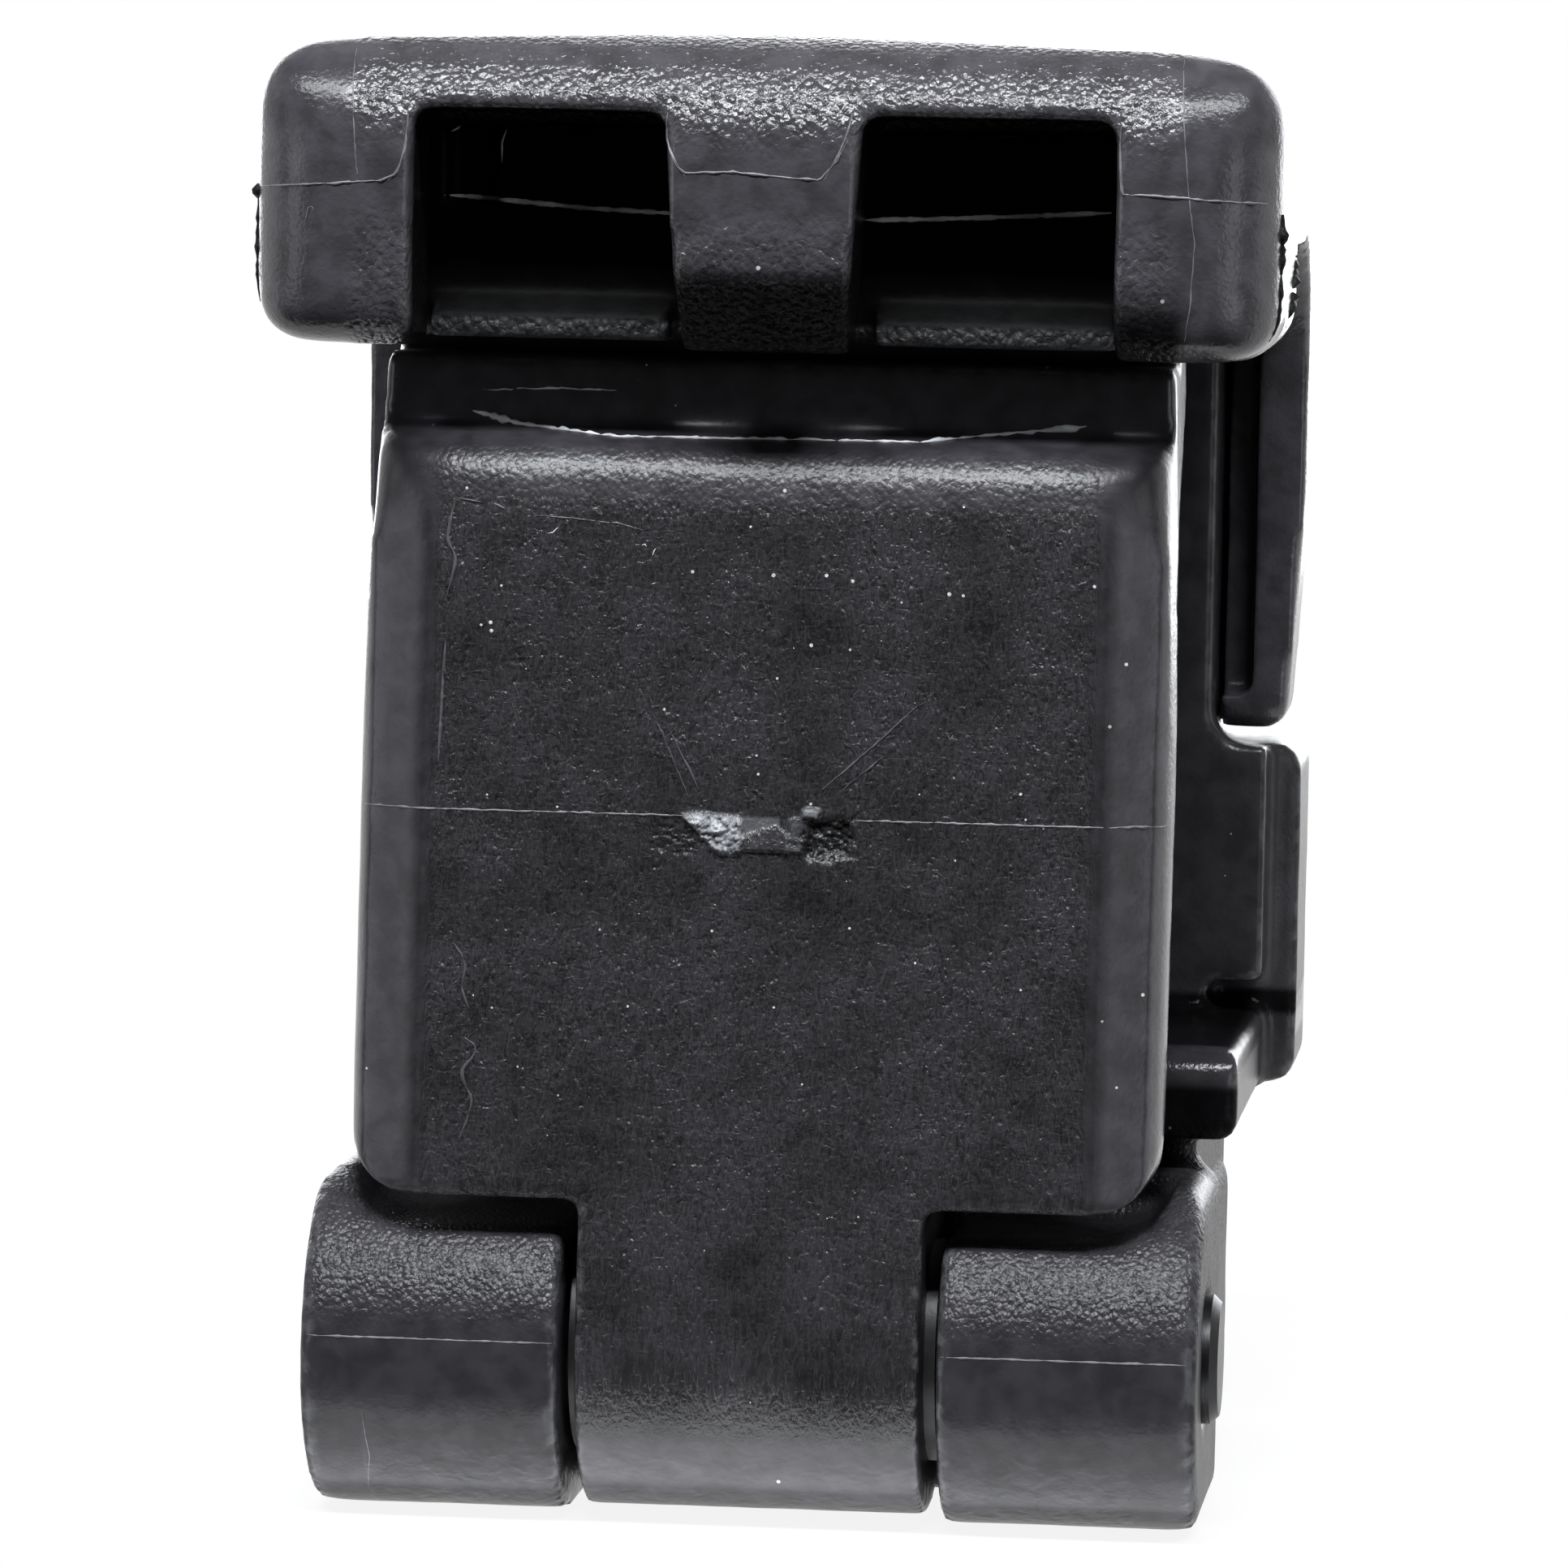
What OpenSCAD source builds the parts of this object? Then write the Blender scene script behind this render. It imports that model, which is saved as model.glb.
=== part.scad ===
// Gated horn fitting: a fixed horn over an eye that a sprung gate closes from the front.
// X runs across the horn, Y from the gate to the back, Z up from the deck.
// The origin is on the deck, midway between the two deck inserts.

/* [Horn head] */
// Width across the horn
head_w = 31.3; // [29:0.1:36]
// Height of the horn block
head_h = 9.6; // [8.5:0.1:12]
// Front to back of the horn block
horn_depth = 9; // [8.7:0.1:11]
// How far the horn stands in front of the hinge axis
horn_overhang = 7; // [6:0.1:8]
// Rise of the horn's top from its ends to its middle
head_crown = 0.4; // [0.1:0.05:1]
// Roof over the windows and the eye
roof_t = 2.6; // [2.2:0.1:3.5]
// Width of the middle finger at the top
rib_w = 6; // [4:0.1:8]
// How much each side of the middle finger narrows towards its foot
rib_taper = 0.5; // [0:0.05:0.8]
// Height of the slope at the middle finger's foot
foot_rise = 2.4; // [1.7:0.1:3]
// How far that slope runs back
foot_back = 1.9; // [0.5:0.1:2.2]
// Width of each end finger
end_finger_w = 5.05; // [4:0.05:6]
// How far the windows reach above the roof inside
window_rise = 0.6; // [0:0.05:0.8]
// Front to back of the fingers
finger_t = 4.4; // [3.5:0.1:4.6]
// Depth of the hood's side walls below the horn's top
hood_side_h = 6.3; // [5:0.1:8]
// Wall of the skirt behind the post
skirt_t = 2; // [1.6:0.1:3]
// Front to back of the skirt's side flanks
flank_t = 5.4; // [4.5:0.1:7]
// How much each side of the hood narrows towards its back
hood_taper = 0.4; // [0:0.1:0.8]
// How much each side of the skirt narrows towards its foot
skirt_taper = 0.8; // [0:0.1:1.2]
// Depth of the panel sunk into the front of each flank
panel_sink = 1.5; // [0.5:0.1:2.5]
// Rim round that panel
panel_rim = 1.1; // [0.8:0.1:1.2]
// Rounding of the horn's top front edge
horn_top_r = 3.6; // [2:0.1:4]
// Rounding of the horn's top side edges
horn_side_r = 2.2; // [1:0.1:2.4]
// Rounding of the horn's lower edges
horn_foot_r = 1.6; // [0.8:0.1:1.8]
// Rounding of the horn's upright front edges
horn_corner_r = 2.5; // [1:0.1:3]
// Rounding of the hood's back edges
hood_back_r = 2.5; // [1:0.1:3]
// Rounding of the arch in each of the hood's sides
hood_arch_r = 5; // [2:0.1:6]

/* [Catch bar] */
// Front to back of the catch bar
bar_t = 4.2; // [3.5:0.1:4.3]
// How far the bar's underside lies above the horn's
bar_lift = 0.2; // [0:0.05:0.5]
// How far the bar's lower lip stands forward in the windows
lip_out = 0.8; // [0.3:0.1:1.2]
// Height of that lip
lip_h = 1.4; // [1.2:0.1:2]
// Width of the nook in the bar's left corner
nook_w = 1.6; // [1:0.1:2.4]
// Height of the nook
nook_h = 2.4; // [1:0.1:3]
// Depth of the nook
nook_sink = 0.9; // [0.3:0.1:1.5]
// Distance from the end finger to the nook
nook_in = 0.5; // [0.2:0.1:1.5]

/* [Gate] */
// Width of the gate
gate_w = 25.1; // [23:0.1:25.2]
// How much each side of the gate narrows at its nose
gate_taper = 0.55; // [0.1:0.05:1]
// Wall of the gate's plate
gate_t = 3; // [2.4:0.1:3.6]
// Backward lean of the gate's face, in degrees
gate_lean = 4; // [2:0.5:5]
// Rounding of the gate's upright edges
gate_edge_r = 2; // [1:0.1:2.2]
// Height from the gate's shoulder to the horn's underside
shoulder_drop = 3; // [2.6:0.1:4]
// Front to back of the upright catch on the gate's nose
catch_t = 2.6; // [2:0.1:3.2]
// Height of the catch behind the bar
catch_h = 3.4; // [2:0.1:4.5]
// Height of the catch's root under the nose
catch_root = 1.2; // [0.8:0.1:1.6]
// How far the neck lies behind the shoulder
neck_set = 2.5; // [1.5:0.1:2.8]
// Rise of the shoulder from its edge to the neck
shoulder_rise = 0.4; // [0.1:0.05:0.8]
// Rounding of the shoulder
shoulder_r = 1.7; // [1:0.1:1.8]
// Height of the shoulder above the bend in the gate's back
bend_drop = 3; // [2:0.1:4]
// Rounding of that bend
bend_r = 7; // [3:0.5:8]
// Rounding of the gate's lower corners
gate_corner_r = 2; // [1:0.1:2.2]

/* [Hinge] */
// Diameter of the hinge pin
pin_d = 4; // [3:0.1:4.2]
// How far the pin stands out of each ear
pin_proud = 0.45; // [0.3:0.05:1]
// Chamfer of the pin's ends
pin_chamfer = 0.25; // [0.1:0.05:0.3]
// Radius of the base's ears, and height of the pin above the deck
ear_r = 5.3; // [5.2:0.1:6]
// Radius of the gate's knuckle
knuckle_r = 5.1; // [4.8:0.1:5.2]
// Width of the gate's knuckle
knuckle_w = 10.6; // [10:0.1:12]
// Width across both ears
ear_span = 27.5; // [27:0.1:30]
// Height of the ears' cradle above the pin
cradle_h = 3.8; // [3:0.1:4.2]
// Wall of the gate's bushes
bush_wall = 0.75; // [0.6:0.05:1]
// Thickness of the bushes' flanges
bush_flange_t = 0.35; // [0.2:0.05:0.4]
// Width of the bushes' flanges beyond their sleeves
bush_flange_w = 0.65; // [0.3:0.05:1]

/* [Gate spring] */
// Diameter of the spring wire
wire_d = 0.8; // [0.5:0.05:0.85]
// Spring turns, whole ones
spring_turns = 3; // [2:1:3]
// Gap between one turn and the next
turn_gap = 0.45; // [0.42:0.01:0.5]
// Length of the leg in the gate's groove, above the pin
gate_leg = 8; // [6:0.1:8.2]
// How far the other leg reaches into the base
base_leg_hold = 2.8; // [1.5:0.1:4]

/* [Base] */
// Height of the eye's floor above the deck
floor_h = 14.4; // [13.6:0.1:16]
// Height of the eye, floor to horn
eye_h = 21.8; // [20:0.1:28]
// Depth of the eye, hinge axis to post
eye_d = 15.2; // [15:0.1:20]
// Width of the base block
base_w = 25.9; // [25:0.1:28]
// How far the floor's ledge stands out on the right
ledge_w = 1.35; // [0.5:0.05:1.6]
// Distance from the hinge axis to the deck inserts
hinge_set = 12; // [11:0.1:13]
// How far the floor's front lip stands out over the block's front
floor_lip = 1.7; // [0.5:0.1:2]
// Thickness of the floor's front lip
lip_t = 2.8; // [2:0.1:3]
// How far each shoulder stands out past the horn's end
shoulder_proud = -0.25; // [-0.5:0.05:0.5]
// Height of the shoulders above the floor
shoulder_h = 8.6; // [6:0.1:11]
// How far the shoulders hang below the floor
shoulder_hang = 2.5; // [1:0.1:4]
// Width of the post
post_w = 25.1; // [23:0.1:25.2]
// Front to back of the post
post_t = 5; // [4.8:0.1:6]
// How far the side pads stand out of the block
pad_proud = 0.25; // [0.2:0.05:0.8]
// Height of the side pads
pad_h = 6; // [4:0.1:8]
// Distance from the side pads to the block's ends
pad_inset = 2.5; // [2:0.1:4]
// Rounding of the block's upright edges
block_corner_r = 1; // [0.5:0.1:1.6]
// Rounding where the post meets the shoulders
flare_r = 1.2; // [0.6:0.1:1.5]

/* [Fasteners] */
// Distance between the two deck inserts
deck_spacing = 15; // [12:0.5:18]
// Outer diameter of a deck insert
deck_insert_d = 5.6; // [5:0.1:6.4]
// Length of a deck insert
deck_insert_l = 8; // [6:0.5:10]
// Thread bore of a deck insert
deck_thread_d = 3.3; // [3:0.1:4.2]
// Diameter of the head screws' shanks
screw_d = 3; // [2.5:0.1:3]
// Diameter of the head screws' button heads
screw_head_d = 5.7; // [5.2:0.1:6]
// Height of the button heads
button_h = 1.65; // [1.2:0.05:2]
// Distance between the two screws of each pair
screw_spacing = 14; // [11:0.5:16]
// Height of the head screws above the shoulders
head_screw_up = 6.7; // [5:0.1:10]
// Outer diameter of a head insert
head_insert_d = 4.4; // [4:0.1:5]
// Length of a head insert
head_insert_l = 4.2; // [3.5:0.1:4.6]
// Diameter of the bar screws' shanks
bar_screw_d = 2; // [1.6:0.1:2.2]
// Diameter of the bar screws' countersunk heads
bar_screw_head_d = 3.6; // [3.2:0.1:3.8]
// Thread length of the bar screws in the horn's roof
bar_screw_hold = 2; // [1.4:0.1:2.1]
// How deep the bar screws' heads are sunk
csk_sink = 0.25; // [0.1:0.05:0.4]
// Radius of the button heads' domes
dome_r = 4.1; // [3.8:0.1:5]
// Width of the head screws' sockets, across the corners
socket_d = 2.3; // [2:0.1:2.5]
// Width of the bar screws' sockets, across the corners
bar_socket_d = 1.5; // [1.2:0.1:1.6]
// Depth of the sockets
socket_depth = 0.9; // [0.6:0.1:1]

/* [Edges] */
// Rounding of the moulded edges
edge_r = 0.8; // [0.5:0.1:0.9]
// Rounding of the small edges
fine_r = 0.4; // [0.2:0.1:0.5]

/* [Clearances] */
// Radial running clearance of the bushes on the pin
run_gap = 0.03; // [0.01:0.01:0.1]
// Side gap between the knuckle and each ear
side_gap = 0.5; // [0.45:0.05:0.8]
// Gap round the gate's lower corners
cradle_gap = 0.35; // [0.3:0.05:0.5]
// Gap under the gate's wings
wing_gap = 1.1; // [0.8:0.05:1.4]
// Gap between the gate's catch and the bar
catch_gap = 0.3; // [0.25:0.05:0.5]
// Gap between the bar's lip and the fingers beside it
lip_gap = 0.15; // [0.1:0.05:0.3]
// Gap between the gate's nose and the bar's underside
nose_gap = 0.6; // [0.4:0.05:1]
// Gap between the knuckle and the base block behind it
block_gap = 0.4; // [0.3:0.05:0.6]
// Gap between the post and the hood round it
hood_gap = 0.2; // [0.1:0.05:0.3]
// Gap between the skirt's foot and the shoulders
skirt_gap = 0.45; // [0.3:0.05:1]
// Gap round the spring in the gate
spring_gap = 0.3; // [0.2:0.05:0.4]
// Radial gap round the wire where it enters the base
wire_gap = 0.1; // [0.05:0.01:0.2]

/* [Hidden] */
$fn = 64;
arc_steps = 6;
far = 200;
eps = 0.01;
over = 1;

// Places along Y, from the front to the back
hinge_y = -hinge_set;
hinge_z = ear_r;
head_front = hinge_y - horn_overhang;
horn_back = head_front + horn_depth;
bar_front = head_front + finger_t;
bar_back = bar_front + bar_t;
catch_front = bar_back + catch_gap;
catch_back = catch_front + catch_t;
block_front = hinge_y + knuckle_r + block_gap;
lip_front = block_front - floor_lip;
post_front = hinge_y + eye_d;
post_back = post_front + post_t;
skirt_front = post_back + hood_gap;
head_back = skirt_front + skirt_t;
flank_front = head_back - flank_t;

// Heights
horn_z = floor_h + eye_h;
head_top = horn_z + head_h;
end_top = head_top - head_crown;
roof_z = head_top - head_crown - roof_t;
window_z = roof_z + window_rise;
hood_side_z = head_top - hood_side_h;
shoulder_top = floor_h + shoulder_h;
skirt_z = shoulder_top + skirt_gap;
cradle_z = hinge_z + cradle_h;
wing_z = cradle_z + wing_gap;
gate_shoulder_z = horn_z - shoulder_drop;
bar_z = horn_z + bar_lift;
nose_z = bar_z - nose_gap;
catch_z = nose_z + catch_h;
taper_z = (floor_h + gate_shoulder_z) / 2;
head_screw_z = shoulder_top + head_screw_up;

// Half widths
head_half = head_w / 2;
cavity_half = max(post_w, gate_w) / 2 + hood_gap;
window_out = head_half - end_finger_w;
gate_half = gate_w / 2;
nose_half = gate_half - gate_taper;
barrel_half = knuckle_w / 2;
ear_in = barrel_half + side_gap;
ear_half = ear_span / 2;
base_half = base_w / 2;
post_half = post_w / 2;
shoulder_half = head_half + shoulder_proud;

// Hinge and spring
pin_r = pin_d / 2;
pin_half = ear_half + pin_proud;
bush_in = pin_r + run_gap;
bush_out = bush_in + bush_wall;
flange_r = bush_out + bush_flange_w;
wire_r = wire_d / 2;
coil_r = pin_r + spring_gap + wire_r;
coil_rise = wire_d + turn_gap;
coil_turns = spring_turns + 1 / 4;
coil_half = coil_turns * coil_rise / 2;
pocket_r = coil_r + wire_r + spring_gap;
pocket_half = coil_half + wire_r + spring_gap;
screw_r = screw_d / 2;
screw_head_r = screw_head_d / 2;
bar_screw_r = bar_screw_d / 2;
bar_screw_head_r = bar_screw_head_d / 2;
csk_depth = bar_screw_head_r - bar_screw_r;
bar_mid = (bar_front + bar_back) / 2;
groove_r = wire_r + wire_gap;

plastic = [0.07, 0.07, 0.075];
gate_plastic = [0.09, 0.09, 0.095];
bar_plastic = [0.05, 0.05, 0.055];
steel = [0.72, 0.73, 0.75];
brass = [0.78, 0.62, 0.30];
bush_plastic = [0.85, 0.85, 0.82];

// Outlines with rounded corners: each corner is [x, y, radius]
function unit(v) = v / norm(v);
function wrap(a) = a > 180 ? a - 360 : a < -180 ? a + 360 : a;
function rounded(before, at, after, r) =
    r <= 0 ? [at] :
    let (u = unit(before - at),
         w = unit(after - at),
         half = acos(u * w) / 2,
         centre = at + unit(u + w) * r / sin(half),
         first = at + u * r / tan(half) - centre,
         last = at + w * r / tan(half) - centre,
         start = atan2(first.y, first.x),
         sweep = wrap(atan2(last.y, last.x) - start))
    [for (i = [0 : arc_steps]) let (a = start + sweep * i / arc_steps) centre + r * [cos(a), sin(a)]];
function outline(corners) =
    let (n = len(corners), at = [for (c = corners) [c[0], c[1]]])
    [for (i = [0 : n - 1]) each rounded(at[(i + n - 1) % n], at[i], at[(i + 1) % n], corners[i][2])];
// A right half given upwards from the bottom, closed by its mirror image
function mirrored(half) =
    concat(half, [for (i = [len(half) - 1 : -1 : 0]) [-half[i][0], half[i][1], half[i][2]]]);

// A Y-Z outline drawn out along X
module across(corners, width = far) {
    rotate([90, 0, 90]) linear_extrude(width, center = true) polygon(outline(corners));
}
// An X-Z outline drawn out along Y, between two depths
module through(corners, from = -far / 2, to = far / 2) {
    translate([0, to, 0]) rotate([90, 0, 0]) linear_extrude(to - from) polygon(outline(corners));
}
// An X-Y outline drawn upwards
module upward(corners, from = -far / 2, to = far / 2) {
    translate([0, 0, from]) linear_extrude(to - from) polygon(outline(corners));
}
module block(from, to) {
    translate(from) cube(to - from);
}
module rod_x(r, from, to) {
    translate([from, 0, 0]) rotate([0, 90, 0]) cylinder(r = r, h = to - from);
}
module at_hinge() {
    translate([0, hinge_y, hinge_z]) children();
}
module pair(spacing) {
    for (side = [-1, 1]) translate([side * spacing / 2, 0, 0]) children();
}

// Where the gate's leaning faces stand at a height
function face_y(z) = hinge_y + (-knuckle_r + (z - hinge_z) * sin(gate_lean)) / cos(gate_lean);
function rear_y(z) = face_y(z) + gate_t / cos(gate_lean);

// Horn head: the horn block with its three fingers, the hood over the eye and the skirt behind the post
module horn_block() {
    intersection() {
        across([[head_front, horn_z, horn_foot_r], [head_front, head_top, horn_top_r],
                [horn_back + over, head_top, 0], [horn_back + over, hood_side_z, 0],
                [horn_back, hood_side_z, 0], [horn_back, horn_z, edge_r]]);
        through(mirrored([[head_half, horn_z, horn_foot_r], [head_half, end_top, horn_side_r],
                          [eps, head_top, 0]]));
        upward(mirrored([[head_half, head_back, 0], [head_half, head_front, horn_corner_r]]));
    }
}
module hood() {
    intersection() {
        across([[horn_back - over, hood_side_z, 0], [horn_back - over, head_top, 0],
                [head_back, head_top, hood_back_r], [head_back, skirt_z, edge_r],
                [flank_front, skirt_z, edge_r], [flank_front, hood_side_z, hood_arch_r]]);
        through(mirrored([[head_half - skirt_taper, skirt_z, edge_r], [head_half, horn_z, 0],
                          [head_half, end_top, horn_side_r], [eps, head_top, 0]]));
        upward(mirrored([[head_half, horn_back, 0], [head_half - hood_taper, head_back, hood_back_r]]));
    }
}
module flank_panels() {
    panel_out = head_half - skirt_taper - panel_rim;
    for (side = [0, 1]) mirror([side, 0, 0])
        block([cavity_half - eps, flank_front - over, skirt_z + panel_rim],
              [panel_out, flank_front + panel_sink, horn_z]);
}
module windows() {
    rib_foot = rib_w / 2 - rib_taper;
    for (side = [-1, 1])
        through([[side * rib_foot, horn_z, 0], [side * rib_w / 2, window_z, fine_r],
                 [side * window_out, window_z, fine_r], [side * window_out, horn_z, 0]],
                head_front - over, bar_front + eps);
}
module finger_foot() {
    across([[head_front - over, horn_z - over, 0], [head_front - over, horn_z + foot_rise, 0],
            [head_front, horn_z + foot_rise, 0], [head_front + foot_back, horn_z, 0],
            [head_front + foot_back, horn_z - over, 0]], rib_w);
}
module horn_head() {
    color(plastic) difference() {
        union() {
            horn_block();
            hood();
        }
        block([-cavity_half, bar_front, 0], [cavity_half, skirt_front, roof_z]);
        windows();
        finger_foot();
        flank_panels();
        pair(screw_spacing) translate([0, skirt_front - over, head_screw_z]) rotate([-90, 0, 0])
            cylinder(r = screw_r, h = skirt_t + 2 * over);
        pair(screw_spacing) translate([0, bar_mid, roof_z - eps])
            cylinder(r = bar_screw_r, h = bar_screw_hold + eps);
    }
}

// Catch bar: closes the windows from behind, and the gate's catch pulls against its back
module bar_lip(from, to) {
    translate([(from + to) / 2, 0, 0])
        across([[bar_front + over, bar_z, 0], [bar_front + over, bar_z + lip_h, 0],
                [bar_front, bar_z + lip_h, 0], [bar_front - lip_out, bar_z + lip_h / 2, fine_r],
                [bar_front - lip_out, bar_z, fine_r / 2]], to - from);
}
module catch_bar() {
    nook_out = window_out - nook_in;
    color(bar_plastic) difference() {
        union() {
            across([[bar_front, roof_z, 0], [bar_front, bar_z, fine_r], [bar_back, bar_z, edge_r],
                    [bar_back, roof_z, 0]], 2 * cavity_half);
            for (side = [0, 1]) mirror([side, 0, 0]) bar_lip(rib_w / 2 + lip_gap, window_out - lip_gap);
        }
        block([-nook_out, bar_front - over, roof_z - nook_h],
              [nook_w - nook_out, bar_front + nook_sink, roof_z + over]);
        pair(screw_spacing) translate([0, bar_mid, bar_z]) {
            translate([0, 0, -over]) cylinder(r = bar_screw_head_r, h = over + csk_sink);
            translate([0, 0, csk_sink]) cylinder(r1 = bar_screw_head_r, r2 = bar_screw_r, h = csk_depth);
            cylinder(r = bar_screw_r, h = roof_z - bar_z + over);
        }
    }
}

// Gate: the leaning plate with its shoulder, nose and catch, and the knuckle that turns on the pin
module gate_plate() {
    neck_y = face_y(gate_shoulder_z) + neck_set;
    bend_z = gate_shoulder_z - bend_drop;
    intersection() {
        across([[face_y(hinge_z), hinge_z, 0], [face_y(gate_shoulder_z), gate_shoulder_z, shoulder_r],
                [neck_y, gate_shoulder_z + shoulder_rise, fine_r], [neck_y, nose_z, fine_r],
                [catch_front, nose_z, fine_r], [catch_front, catch_z, fine_r],
                [catch_back, catch_z, edge_r], [catch_back, nose_z - catch_root, edge_r],
                [rear_y(bend_z), bend_z, bend_r],
                [rear_y(hinge_z), hinge_z, 0]]);
        through(mirrored([[barrel_half, hinge_z, 0], [barrel_half, wing_z, fine_r],
                          [gate_half, wing_z, gate_corner_r], [gate_half, taper_z, 0],
                          [nose_half, catch_z + over, 0]]));
        at_hinge() rotate([-gate_lean, 0, 0])
            upward(mirrored([[gate_half, far / 2, 0], [gate_half, -knuckle_r, gate_edge_r]]));
    }
}
module gate() {
    color(gate_plastic) difference() {
        union() {
            gate_plate();
            at_hinge() rod_x(knuckle_r, -barrel_half, barrel_half);
        }
        at_hinge() {
            rod_x(bush_out, -barrel_half - over, barrel_half + over);
            rod_x(pocket_r, -pocket_half, pocket_half);
            block([-pocket_half, 0, -knuckle_r - over], [pocket_half, knuckle_r + over, pocket_r]);
            rotate([-gate_lean, 0, 0])
                block([coil_half - groove_r, -coil_r - groove_r, 0],
                      [coil_half + groove_r, gate_t - knuckle_r + over, gate_leg + wire_r + spring_gap]);
        }
    }
}

// Base: the deck block with its ears, the floor of the eye, the shoulders and the post
module ear(side) {
    intersection() {
        union() {
            at_hinge() rod_x(ear_r, -far / 2, far / 2);
            block([-far / 2, hinge_y, 0], [far / 2, block_front + over, 2 * ear_r]);
        }
        through([[side * ear_in, 0, 0], [side * ear_in, 2 * ear_r, fine_r],
                 [side * ear_half, 2 * ear_r, edge_r], [side * ear_half, 0, edge_r]]);
    }
}
module cradle_cut() {
    cut_half = gate_half + cradle_gap;
    through(mirrored([[cut_half, cradle_z, gate_corner_r + cradle_gap], [cut_half, floor_h + over, 0]]),
            head_front, lip_front - block_gap);
}
module deck_block() {
    under_lip = floor_h - lip_t;
    pad_low = (under_lip - pad_h) / 2;
    intersection() {
        across([[block_front, 0, fine_r], [block_front, under_lip, edge_r], [lip_front, under_lip, fine_r],
                [lip_front, floor_h, edge_r], [head_back, floor_h, fine_r], [head_back, 0, edge_r]]);
        upward(mirrored([[base_half, head_back, block_corner_r], [base_half, lip_front, block_corner_r]]));
    }
    through([[0, under_lip, 0], [0, floor_h, 0], [base_half + ledge_w, floor_h, fine_r],
             [base_half + ledge_w, under_lip, fine_r]], lip_front, flank_front + eps);
    across([[block_front + pad_inset, pad_low, edge_r], [block_front + pad_inset, pad_low + pad_h, edge_r],
            [head_back - pad_inset, pad_low + pad_h, edge_r], [head_back - pad_inset, pad_low, edge_r]],
           base_w + 2 * pad_proud);
}
module shoulders_and_post() {
    low = floor_h - shoulder_hang;
    flare_half = post_half + 1.5 * flare_r;
    through(mirrored([[shoulder_half, low, edge_r], [shoulder_half, shoulder_top, edge_r]]),
            flank_front, head_back);
    through(mirrored([[post_half, low, 0], [post_half, roof_z, fine_r]]), post_front, post_back);
    through(mirrored([[flare_half, floor_h + over, 0], [flare_half, shoulder_top, 0],
                      [post_half, shoulder_top, flare_r], [post_half, shoulder_top + 2 * flare_r, 0]]),
            post_front, flank_front - hood_gap);
}
module base() {
    color(plastic) difference() {
        union() {
            difference() {
                for (side = [-1, 1]) ear(side);
                cradle_cut();
            }
            deck_block();
            shoulders_and_post();
        }
        at_hinge() {
            rod_x(pin_r, -far / 2, far / 2);
            rod_x(knuckle_r + block_gap, -ear_in, ear_in);
            translate([-coil_half, 0, -coil_r]) rotate([-90, 0, 0])
                cylinder(r = groove_r, h = block_front - hinge_y + base_leg_hold + wire_gap);
        }
        pair(screw_spacing) translate([0, post_back + eps, head_screw_z]) rotate([90, 0, 0])
            cylinder(d = head_insert_d, h = head_insert_l + eps);
        pair(deck_spacing) translate([0, 0, -over]) cylinder(d = deck_insert_d, h = deck_insert_l + over);
    }
}

// Hinge pin, pressed into the ears, and the two bushes pressed into the gate's knuckle
module hinge_pin() {
    straight = pin_half - pin_chamfer;
    color(steel) at_hinge() {
        rod_x(pin_r, -straight, straight);
        for (side = [-1, 1]) translate([side * straight, 0, 0]) rotate([0, side * 90, 0])
            cylinder(r1 = pin_r, r2 = pin_r - pin_chamfer, h = pin_chamfer);
    }
}
module bush(side) {
    color(bush_plastic) at_hinge() mirror([side < 0 ? 1 : 0, 0, 0]) difference() {
        union() {
            rod_x(bush_out, pocket_half, barrel_half + eps);
            rod_x(flange_r, barrel_half, barrel_half + bush_flange_t);
        }
        rod_x(bush_in, 0, far);
    }
}
module left_bush() { bush(-1); }
module right_bush() { bush(1); }

// Gate spring: one wire from the base's bore, round the pin, to the groove in the gate's back
ring_sides = 8;
rings_a_turn = 16;
coil_rings = round(coil_turns * rings_a_turn);
function coil_at(i) =
    let (turn = 360 * i / rings_a_turn)
    [coil_rise * i / rings_a_turn - coil_half, -coil_r * sin(turn), -coil_r * cos(turn)];
wire_path = concat(
    [[-coil_half, block_front - hinge_y + base_leg_hold, -coil_r]],
    [for (i = [0 : coil_rings]) coil_at(i)],
    [[coil_half, -coil_r + gate_leg * sin(gate_lean), gate_leg]]);
function least_gap(path, skip) =
    min([for (i = [1 : len(path) - 2], j = [i + skip : 1 : len(path) - 2])
        norm(path[i] - path[j])]) - wire_d;
function heading(path, i) = unit(path[min(i + 1, len(path) - 1)] - path[max(i - 1, 0)]);
module tube(path, r, sides) {
    rings = [for (i = [0 : len(path) - 1])
        let (t = heading(path, i), u = unit(cross(t, [1, 0, 0.02])), w = cross(t, u))
        for (k = [0 : sides - 1]) path[i] + r * (cos(360 * k / sides) * u + sin(360 * k / sides) * w)];
    last = len(path) - 1;
    walls = [for (i = [0 : last - 1], k = [0 : sides - 1])
        let (a = i * sides + k, b = i * sides + (k + 1) % sides)
        each [[a, b, a + sides], [b, b + sides, a + sides]]];
    ends = [for (k = [1 : sides - 2])
        each [[0, k + 1, k], [last * sides, last * sides + k, last * sides + k + 1]]];
    polyhedron(rings, concat(walls, ends));
}
module gate_spring() {
    echo(least_gap_between_turns = least_gap(wire_path, rings_a_turn / 2));
    color(steel) at_hinge() tube(wire_path, wire_r, ring_sides);
}

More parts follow.
